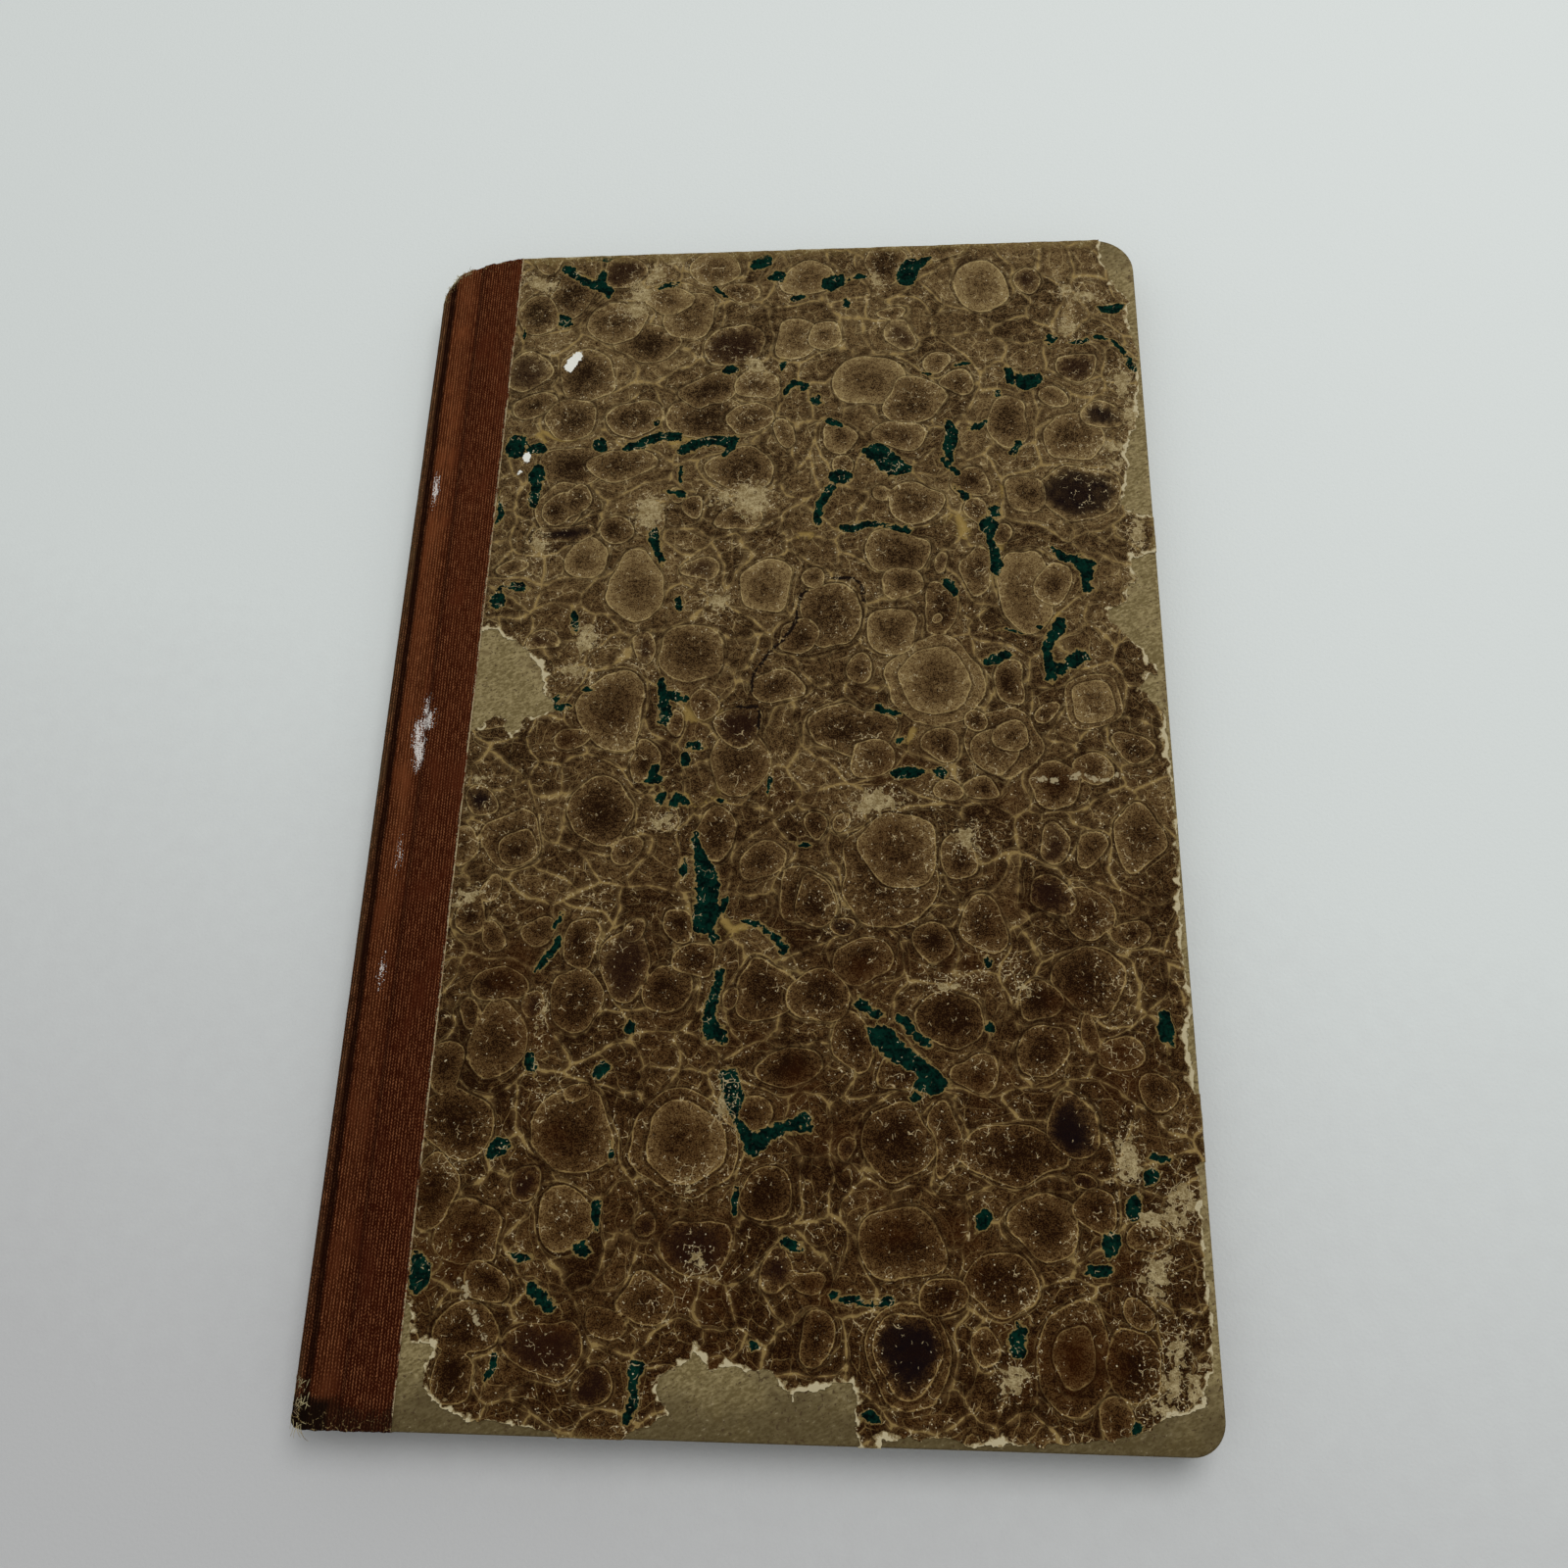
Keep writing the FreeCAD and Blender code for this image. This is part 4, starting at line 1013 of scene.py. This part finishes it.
def bookcloth():
    finish = Finish("bookcloth")
    weave = finish.stored("weave", "Vector")
    across = finish.axis(weave, "X")
    along = finish.axis(weave, "Y")
    wander = finish.mottle(finish.turned(weave, 0.0, (1.0, 14.0, 1.0)), 2.0, 2.0)
    stripes = finish.mottle(finish.turned(weave, 0.0, (0.5, 30.0, 1.0)), 1.6, 2.0)
    slub = finish.mottle(finish.turned(weave, 0.0, (0.6, 5.0, 1.0)), 0.6, 3.0)
    cloud = finish.mottle(finish.turned(weave, 0.0, (1.0, 2.5, 1.0)), 6.0, 3.0)
    grain = finish.mottle(weave, 0.45, 2.0)
    rib = ((across + wander * 0.2) * (2 * math.pi / RIB_PITCH)).wave() * 0.5 + 0.5
    other = (across * (math.pi / RIB_PITCH)).wave() * 3.0
    thread = ((along + wander * 0.3) * (2 * math.pi / THREAD_PITCH) + other).wave() * 0.5 + 0.5
    height = rib * (thread * 0.35 + 0.65) + grain * 0.4 + slub * 0.4
    # colours across the cloth by distance from the back's outer face: worn olive where the back rounds
    # away, a dark painted shadow strip, the ridge rubbed lighter with painted light on its top, painted
    # shade in the joint groove, then the cloth on the board
    stops = [
        (0.0, paint(82, 66, 42)), (0.1, paint(70, 50, 30)), (0.118, paint(30, 12, 5)),
        (0.165, paint(30, 10, 3)), (0.2, paint(94, 48, 23)), (0.3, paint(110, 60, 32)),
        (0.38, paint(98, 51, 26)), (0.44, paint(72, 32, 15)), (0.485, paint(54, 21, 9)),
        (0.53, paint(66, 28, 12)), (0.62, paint(73, 32, 14)), (1.0, paint(75, 34, 16)),
    ]
    band = finish.stored("from_back") * (1 / RAMP_REACH) + cloud * 0.006 + grain * 0.006
    colour = finish.ramp(band, stops)
    low_end = along.rise(60.0, -120.0)
    colour = finish.mix(colour, paint(44, 11, 4), low_end * 0.58)
    shaded = (cloud * 0.9 + stripes * 1.0 + slub * 0.6 + grain * 0.5 + 0.5).rise(-0.1, 0.9)
    colour = finish.mix(colour, paint(38, 9, 2), (1.0 - shaded) * 0.5)
    worn_flat = (cloud + finish.mottle(weave, 17.0, 2.0) * 0.8).rise(0.0, 0.5) * 0.6
    ribbed = 1.0 - worn_flat
    # painted shade between the ribs and threads and painted highlight on their tops, both weaker where
    # the cloth is worn flat
    colour = finish.mix(colour, paint(32, 6, 0), (1.0 - rib * (thread * 0.3 + 0.7)) * ribbed * 0.72)
    lit = (rib * 0.6 + thread * 0.4 + slub * 0.8 + grain * 0.8).rise(0.5, 1.3)
    colour = finish.mix(colour, paint(150, 96, 60), lit * 0.62 * ribbed)
    at_tail = along.rise(-156.0, -164.0) * 0.6
    soil = (cloud + slub * 0.6 + finish.stored("worn") * 0.5 + at_tail).rise(0.5, 0.9)
    colour = finish.mix(colour, paint(24, 11, 5), soil * 0.75)
    # a dark painted shadow strip along the back, about 3 to 4.5 mm in from its outer face
    from_back = finish.stored("from_back") + cloud * 0.7 + slub * 0.3
    crack = from_back.rise(2.6, 3.0) * from_back.rise(4.7, 4.2)
    colour = finish.mix(colour, paint(20, 6, 2), crack * 0.8)
    inked = (along + cloud * 4.0 + slub * 2.0).rise(-158.5, -160.5) * from_back.rise(10.5, 8.5)
    colour = finish.mix(colour, paint(13, 7, 4), inked * 0.85)
    # fluff on the worn ends and shoulder, then the cut edge's pale broken line, then white rubs
    tangled = finish.shaken(weave, 1.6, 2.6)
    fluff = (finish.cells(tangled, 2.6, "DISTANCE_TO_EDGE") * 2.6).rise(0.13, 0.03)
    at_back = finish.stored("from_back").rise(3.2, 2.2)
    kept = (grain * 0.6 + slub * 0.5 + finish.stored("worn") * 0.6 + at_back * 0.3).rise(0.42, 0.7)
    colour = finish.mix(colour, paint(150, 128, 84), fluff * kept * 0.7)
    cut_edge = finish.stored("from_edge") + slub * 0.9 + grain * 0.6 + cloud * 0.7
    bare_edge = (cloud * 1.6 + slub * 1.2 + along.rise(-165.0, -90.0) * 0.5).rise(-0.1, 0.2)
    colour = finish.mix(colour, paint(170, 155, 120), cut_edge.rise(0.42, 0.1) * bare_edge * 0.85)
    scuff = (finish.stored("scuff") + slub * 4.4 + grain * 5.0 + cloud * 3.0 + 0.3).rise(0.1, -0.3)
    colour = finish.mix(colour, paint(204, 198, 192), scuff * 0.9)
    return finish.dress(colour, 0.9, height, 0.00018, 0.02)


# white rubs on the ridge: x, y, half sizes
SCUFFS = [(-95.6, 5.5, 0.9, 3.4), (-93.2, 10.0, 1.1, 1.6), (-94.6, 0.8, 1.0, 3.0)]
SCUFFS += [(-96.4, -28, 0.5, 2.4), (-94.0, 13.5, 0.4, 2.0), (-99.6, 84.0, 0.3, 2.0)]
SCUFFS += [(-97.0, -60.0, 0.4, 1.6)]

section = rounded_line(np.array(SECTION), 3)
run = np.concatenate([[0], np.cumsum(np.linalg.norm(np.diff(section, axis=0), axis=1))])
section_length = run[-1]


# one half of the cloth, from the paper's edge to mid back: columns across it and rows along it,
# the first and last rows folded in round its ends
def cloth_half(name, front, material):
    columns = np.linspace(0, section_length, int(section_length / CLOTH_STEP))
    line = np.stack([np.interp(columns, run, section[:, axis]) for axis in (0, 1)], 1)
    heading = np.gradient(line, axis=0)
    heading /= np.linalg.norm(heading, axis=1)[:, None]
    on_board = np.clip((line[:, 0] - JOINT_FREE_AT) / (JOINT_FIXED_AT - JOINT_FREE_AT), 0, 1)
    inward = np.stack([-heading[:, 1], heading[:, 0]], 1)
    inward = inward * (1 - on_board[:, None]) + np.array([0.0, -1.0]) * on_board[:, None]
    inward /= np.linalg.norm(inward, axis=1)[:, None]
    wrap_depth = FREE_FOLD + (cover_thick - FREE_FOLD) * on_board
    from_back = line[:, 0] - back_x
    worn_x, worn_y = zip(*(WORN_HEAD if front else WORN_HEAD_REAR), strict=True)
    head_end = book_high[1] + np.interp(from_back, worn_x, worn_y)
    tail_x, tail_y = zip(*WORN_TAIL, strict=True)
    tail_end = book_low[1] + np.interp(from_back, tail_x, tail_y)
    body_rows = int(2 * book_high[1] / CLOTH_ROW)
    wraps = len(WRAP_ALONG)
    rows = body_rows + 2 * wraps
    cloth = ruled_grid(name, np.arange(len(columns)), np.arange(rows))
    picked = mesh_points(cloth)
    column = np.rint(picked[:, 0]).astype(int)
    row = np.rint(picked[:, 1]).astype(int)
    share = np.clip((row - wraps) / (body_rows - 1), 0, 1)
    start, end = tail_end[column] + 0.5, head_end[column] - 0.5
    squeeze = np.clip((share - SLANT_FROM) / (1 - SLANT_FROM), 0, 1)
    free = book_low[1] + 0.6 + share * (book_high[1] - book_low[1] - 1.2)
    y = free * (1 - squeeze) + (start + share * (end - start)) * squeeze
    y = np.maximum(y, start)
    wrap_index = np.where(row < wraps, wraps - 1 - row, row - wraps - body_rows)
    wrapped = (row < wraps) | (row >= wraps + body_rows)
    wrap_index = np.clip(wrap_index, 0, wraps - 1)
    along = np.array(WRAP_ALONG)[wrap_index]
    depth = np.array(WRAP_DEPTH)[wrap_index] * wrap_depth[column] * wrapped
    y = np.where(wrapped, np.where(row < wraps, tail_end[column] - along, head_end[column] + along), y)
    flat = np.column_stack([columns[column], y])
    frayed = ripple(flat, 2.2, 31.0) * 0.5 + ripple(flat, 0.8, 33.0) * 0.3
    y = y + frayed * (np.abs(y) > FRAYED_PAST) * np.where(y > 0, 1, 0.5)
    spots = line[column] + inward[column] * depth[:, None]
    puff = ripple(flat / (1, 5), 5.0, 35.0) * 0.10 + ripple(flat / (1, 2), 1.8, 37.0) * 0.05
    ease = np.clip(columns[column] / 6, 0.15, 1) * np.clip((section_length - columns[column]) / 2, 0, 1)
    spots = spots - inward[column] * (np.minimum(puff, 0.0) * ease)[:, None]
    across, level = spots.T
    if not front:
        level = book_top - level
    to_end = np.minimum(head_end[column] - y, y - tail_end[column])
    place_points(cloth, np.column_stack([across, y, level]) / 1000)
    store(cloth, "weave", np.column_stack([flat, np.zeros(len(flat))]))
    store(cloth, "from_back", from_back[column])
    store(cloth, "from_edge", columns[column])
    store(cloth, "worn", np.clip(1 - to_end / WORN_REACH, 0, 1))
    shapes = [drop_distance(np.column_stack([across, y]), scuff) for scuff in SCUFFS]
    store(cloth, "scuff", np.min(shapes, axis=0) if front else np.full(len(y), NOWHERE_NEAR))
    activate(cloth)
    bpy.ops.object.mode_set(mode="EDIT")
    bpy.ops.mesh.select_all(action="SELECT")
    if front:
        bpy.ops.mesh.flip_normals()
    bpy.ops.object.mode_set(mode="OBJECT")
    thicken(cloth, CLOTH_THICK)
    cloth.data.materials.append(material)
    return cloth


cloth_material = bookcloth()
front_cloth = cloth_half("bookcloth_front", True, cloth_material)
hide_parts("front_cloth", "spine_cloth")
rear_cloth = cloth_half("bookcloth_rear", False, cloth_material)
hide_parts("rear_cloth")
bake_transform(front_cloth)
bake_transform(rear_cloth)

# Frayed threads. Where the head and the tail of the back are worn through, ends of the cloth's
# pale weft stand out at the corner and lie tangled on the shoulder.
FRAY_THICK = 0.1
FRAY_STEPS = 6


def thread_finish():
    finish = Finish("frayed_thread")
    where = finish.place()
    tone = (finish.mottle(where, 2.6, 2.0) + finish.mottle(where, 0.5, 2.0) * 0.5 + 0.5).rise(0.0, 1.0)
    colour = finish.mix(paint(82, 58, 30), paint(172, 160, 118), tone)
    grain = finish.mottle(where, 0.12, 2.0)
    return finish.dress(colour, 0.95, grain, 0.00003)


# loose threads along one worn end of the back: how far from its outer face and how far in from
# the end they start, how long they are, and which way they point
def frayed_threads(name, count, reach, seed, ends, inside, outside, heading):
    pick = np.random.default_rng(seed)
    curve = bpy.data.curves.new(name, "CURVE")
    curve.dimensions = "3D"
    curve.bevel_depth = FRAY_THICK / 1000
    curve.bevel_resolution = 0
    curve.use_fill_caps = True
    end_x, end_y = zip(*ends, strict=True)
    for _ in range(count):
        from_back = pick.uniform(*reach)
        start_y = book_high[1] * heading + np.interp(from_back, end_x, end_y)
        start_y -= heading * pick.uniform(*inside)
        length = pick.uniform(*outside)
        angle = math.radians(pick.uniform(-75, 75))
        bend = pick.uniform(-0.9, 0.9)
        x, y = from_back + back_x, start_y
        spline = curve.splines.new("POLY")
        spline.points.add(FRAY_STEPS)
        for step in range(FRAY_STEPS + 1):
            x = max(x, back_x + 0.15)
            level = np.interp(-x, -section[:, 0], section[:, 1]) + FRAY_THICK * 0.8
            level -= 0.05 * step
            spline.points[step].co = (x / 1000, y / 1000, level / 1000, 1.0)
            spline.points[step].radius = 1.0 - 0.6 * step / FRAY_STEPS
            x += math.sin(angle) * length / FRAY_STEPS
            y += heading * math.cos(angle) * length / FRAY_STEPS
            angle += bend / FRAY_STEPS * 2
    threads = bpy.data.objects.new(name, curve)
    bpy.context.scene.collection.objects.link(threads)
    activate(threads)
    bpy.ops.object.convert(target="MESH")
    threads = bpy.context.object
    threads.data.materials.append(thread_material)
    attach(threads, "pages")
    return threads


thread_material = thread_finish()
frayed_threads("head_fray", 70, (0.3, 8.5), 3, WORN_HEAD, (0.0, 1.6), (0.8, 2.2), 1)
frayed_threads("tail_fray", 34, (0.3, 4.5), 4, WORN_TAIL, (0.6, 11.0), (1.2, 4.5), -1)

# Pages. Sewn sections of thin rag paper, each leaf a little out of line with the next. Towards
# the back the sections bend out over the joint, and the fore edge is slightly hollow.
LEAVES = 44
LEAF_SHARE = 0.78
LEAVES_A_SECTION = 8
block_low, block_high = (np.array(corner) * 1000 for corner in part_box("text_block"))
flat_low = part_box("rear_flyleaf")[1][2] * 1000
flat_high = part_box("front_flyleaf")[0][2] * 1000
RIDGE_TOP_X = -96.05
RIDGE_FOOT_X = -94.15
BUMPED_HEAD = 10.0
BUMPED_TAIL = 3.0


def page_edges():
    finish = Finish("page_edges")
    where = finish.place()
    leaf = finish.stored("leaf")
    grain = finish.mottle(where, 0.5, 3.0)
    cloud = finish.mottle(where, 11.0, 3.0)
    lie = finish.mottle(finish.turned(where, 0.0, (6.0, 6.0, 0.3)), 0.8, 2.0)
    tone = leaf * 0.5 + cloud * 0.9 + grain * 0.5 + lie * 0.7 + 0.3
    colour = finish.mix(paint(116, 96, 64), paint(186, 166, 126), tone.rise(0.0, 1.0))
    colour = finish.mix(colour, paint(70, 52, 32), (cloud + grain * 0.8 + lie * 0.5).rise(0.3, 0.6) * 0.6)
    return finish.dress(colour, 0.9, grain + lie, 0.0001)


def page_leaves():
    pick = np.random.default_rng(14)
    leaf_step = (flat_high - flat_low) / LEAVES
    # columns close together where a leaf bends at the back, then few across the flat
    bend, flat_from = 0.04, 0.055
    near_lines = [np.linspace(0, bend, 8)[:-1], np.linspace(bend, flat_from, 6)[:-1]]
    x_lines = np.concatenate([*near_lines, np.linspace(flat_from, 1, 7)])
    y_lines = np.linspace(0, 1, 46)
    pieces = []
    for index in range(LEAVES):
        leaf = ruled_grid(f"leaf_{index}", x_lines, y_lines)
        share = mesh_points(leaf)
        level = (index + 0.5) / LEAVES * 2 - 1
        in_section = (index % LEAVES_A_SECTION - (LEAVES_A_SECTION - 1) / 2) / (LEAVES_A_SECTION / 2)
        fore = block_high[0] - 0.5 * (1 - level**2) - pick.uniform(0, 0.35)
        back = block_low[0] + 0.25 + 0.5 * in_section**2 + 1.2 * level**4
        head = block_high[1] - pick.uniform(0, 0.3)
        tail = block_low[1] + pick.uniform(0, 0.3)
        x = back + share[:, 0] * (fore - back)
        y = tail + share[:, 1] * (head - tail)
        flat = np.column_stack([x, y])
        x -= np.abs(ripple(flat + index * 7.3, 24.0, index)) * 0.4 * (share[:, 0] > 0.97)
        past_head = np.maximum(y - (block_high[1] - BUMPED_HEAD), 0) / BUMPED_HEAD
        past_tail = np.maximum(block_low[1] + BUMPED_TAIL - y, 0) / BUMPED_TAIL
        head_bump = BUMPED_HEAD * (1 - np.sqrt(np.maximum(1 - past_head**2, 0)))
        tail_bump = BUMPED_TAIL * (1 - np.sqrt(np.maximum(1 - past_tail**2, 0)))
        near_back = np.clip(1 - share[:, 0] / 0.05, 0, 1)
        x += (head_bump + tail_bump) * near_back
        rise = np.clip((RIDGE_FOOT_X - x) / (RIDGE_FOOT_X - RIDGE_TOP_X), 0, 1)
        fall = np.clip((x - back) / 1.8, 0, 1)
        lift = rise * rise * (3 - 2 * rise) * np.sqrt(np.clip(fall * (2 - fall), 0, 1))
        flare = level * (block_high[2] - flat_high) * 0.96 * lift
        z = flat_low + (index + 1) * leaf_step - leaf_step * (1 - LEAF_SHARE) / 2 + flare
        place_points(leaf, np.column_stack([x, y, z]) / 1000)
        thicken(leaf, leaf_step * LEAF_SHARE / 1000)
        store(leaf, "leaf", np.full(len(leaf.data.vertices), pick.uniform(0, 1)))
        pieces.append(leaf)
    bpy.ops.object.select_all(action="DESELECT")
    for leaf in pieces:
        leaf.select_set(True)
    bpy.context.view_layer.objects.active = pieces[0]
    bpy.ops.object.join()
    block = bpy.context.object
    block.name = "page_leaves"
    return block


leaves = page_leaves()
leaves.data.materials.append(page_edges())
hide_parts("text_block")
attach(leaves, "pages")


# Flyleaves and pastedowns. Plain laid paper, browned towards its edges and foxed; inside the
# covers the folded-in edges of the side paper show through the lining as a low step.
LEAF_MIDDLE = 4.0
LEAF_HALF_WIDE = 98
LEAF_HALF_TALL = 163
FOLDED_SIDE = 11.0
FOLDED_END = 10.5


def endpaper():
    finish = Finish("endpaper")
    where = finish.place()
    across = finish.axis(where, "X")
    along = finish.axis(where, "Y")
    cloud = finish.mottle(where, 40.0, 3.0)
    blot = finish.mottle(where, 9.0, 4.0)
    grain = finish.mottle(where, 0.6, 3.0)
    lie = finish.mottle(finish.turned(where, 0.0, (8.0, 0.5, 1.0)), 1.6, 2.0)
    beside, beyond = abs(across - LEAF_MIDDLE), abs(along)
    to_edge = (beside * (1 / LEAF_HALF_WIDE)).most(beyond * (1 / LEAF_HALF_TALL))
    browned = (to_edge + cloud * 0.25 + blot * 0.15).rise(0.72, 1.05)
    colour = finish.mix(paint(196, 178, 138), paint(212, 198, 162), (cloud + lie + 0.5).rise(0.1, 0.9))
    colour = finish.mix(colour, paint(142, 112, 68), browned * 0.75)
    foxed = (blot + grain * 0.2 + cloud * 0.3).rise(0.2, 0.36)
    colour = finish.mix(colour, paint(150, 112, 62), foxed * 0.5)
    spots = (finish.mottle(where, 2.4, 2.0) + cloud * 0.3).rise(0.26, 0.34)
    colour = finish.mix(colour, paint(122, 82, 42), spots * 0.6)
    side_step, end_step = LEAF_HALF_WIDE - FOLDED_SIDE, LEAF_HALF_TALL - FOLDED_END
    step = beside.rise(side_step, side_step + 1).most(beyond.rise(end_step, end_step + 1))
    height = grain * 0.5 + lie * 0.4 + step * 1.2
    return finish.dress(colour, 0.85, height, 0.00012)


endpaper_material = endpaper()
for node in ("front_flyleaf", "rear_flyleaf", "front_pastedown", "rear_pastedown"):
    sheet_mesh = frame["nodes"][node].data
    sheet_mesh.materials.clear()
    sheet_mesh.materials.append(endpaper_material)


# Lining and inlay of the back. Open linen glued on the sewn sections, and the card strip
# between it and the cloth that stiffens the back.
MESH_PITCH = 1.1


def linen():
    finish = Finish("linen")
    where = finish.place()
    along = finish.axis(where, "Y")
    up = finish.axis(where, "Z")
    grain = finish.mottle(where, 0.4, 3.0)
    warp = (along * (2 * math.pi / MESH_PITCH) + grain).wave() * 0.5 + 0.5
    weft = (up * (2 * math.pi / MESH_PITCH) + grain).wave() * 0.5 + 0.5
    net = warp.most(weft)
    colour = finish.mix(paint(112, 92, 60), paint(176, 160, 124), net.rise(0.3, 0.9))
    return finish.dress(colour, 0.9, net + grain * 0.3, 0.0003)


def card():
    finish = Finish("card")
    where = finish.place()
    grain = finish.mottle(where, 0.5, 3.0)
    cloud = finish.mottle(where, 8.0, 3.0)
    tone = (cloud + grain * 0.7 + 0.5).rise(0.1, 0.9)
    colour = finish.mix(paint(112, 94, 66), paint(150, 130, 96), tone)
    return finish.dress(colour, 0.9, grain, 0.00012)


for node, material in (("mull_lining", linen()), ("spine_inlay", card())):
    strip = frame["nodes"][node].data
    strip.materials.clear()
    strip.materials.append(material)
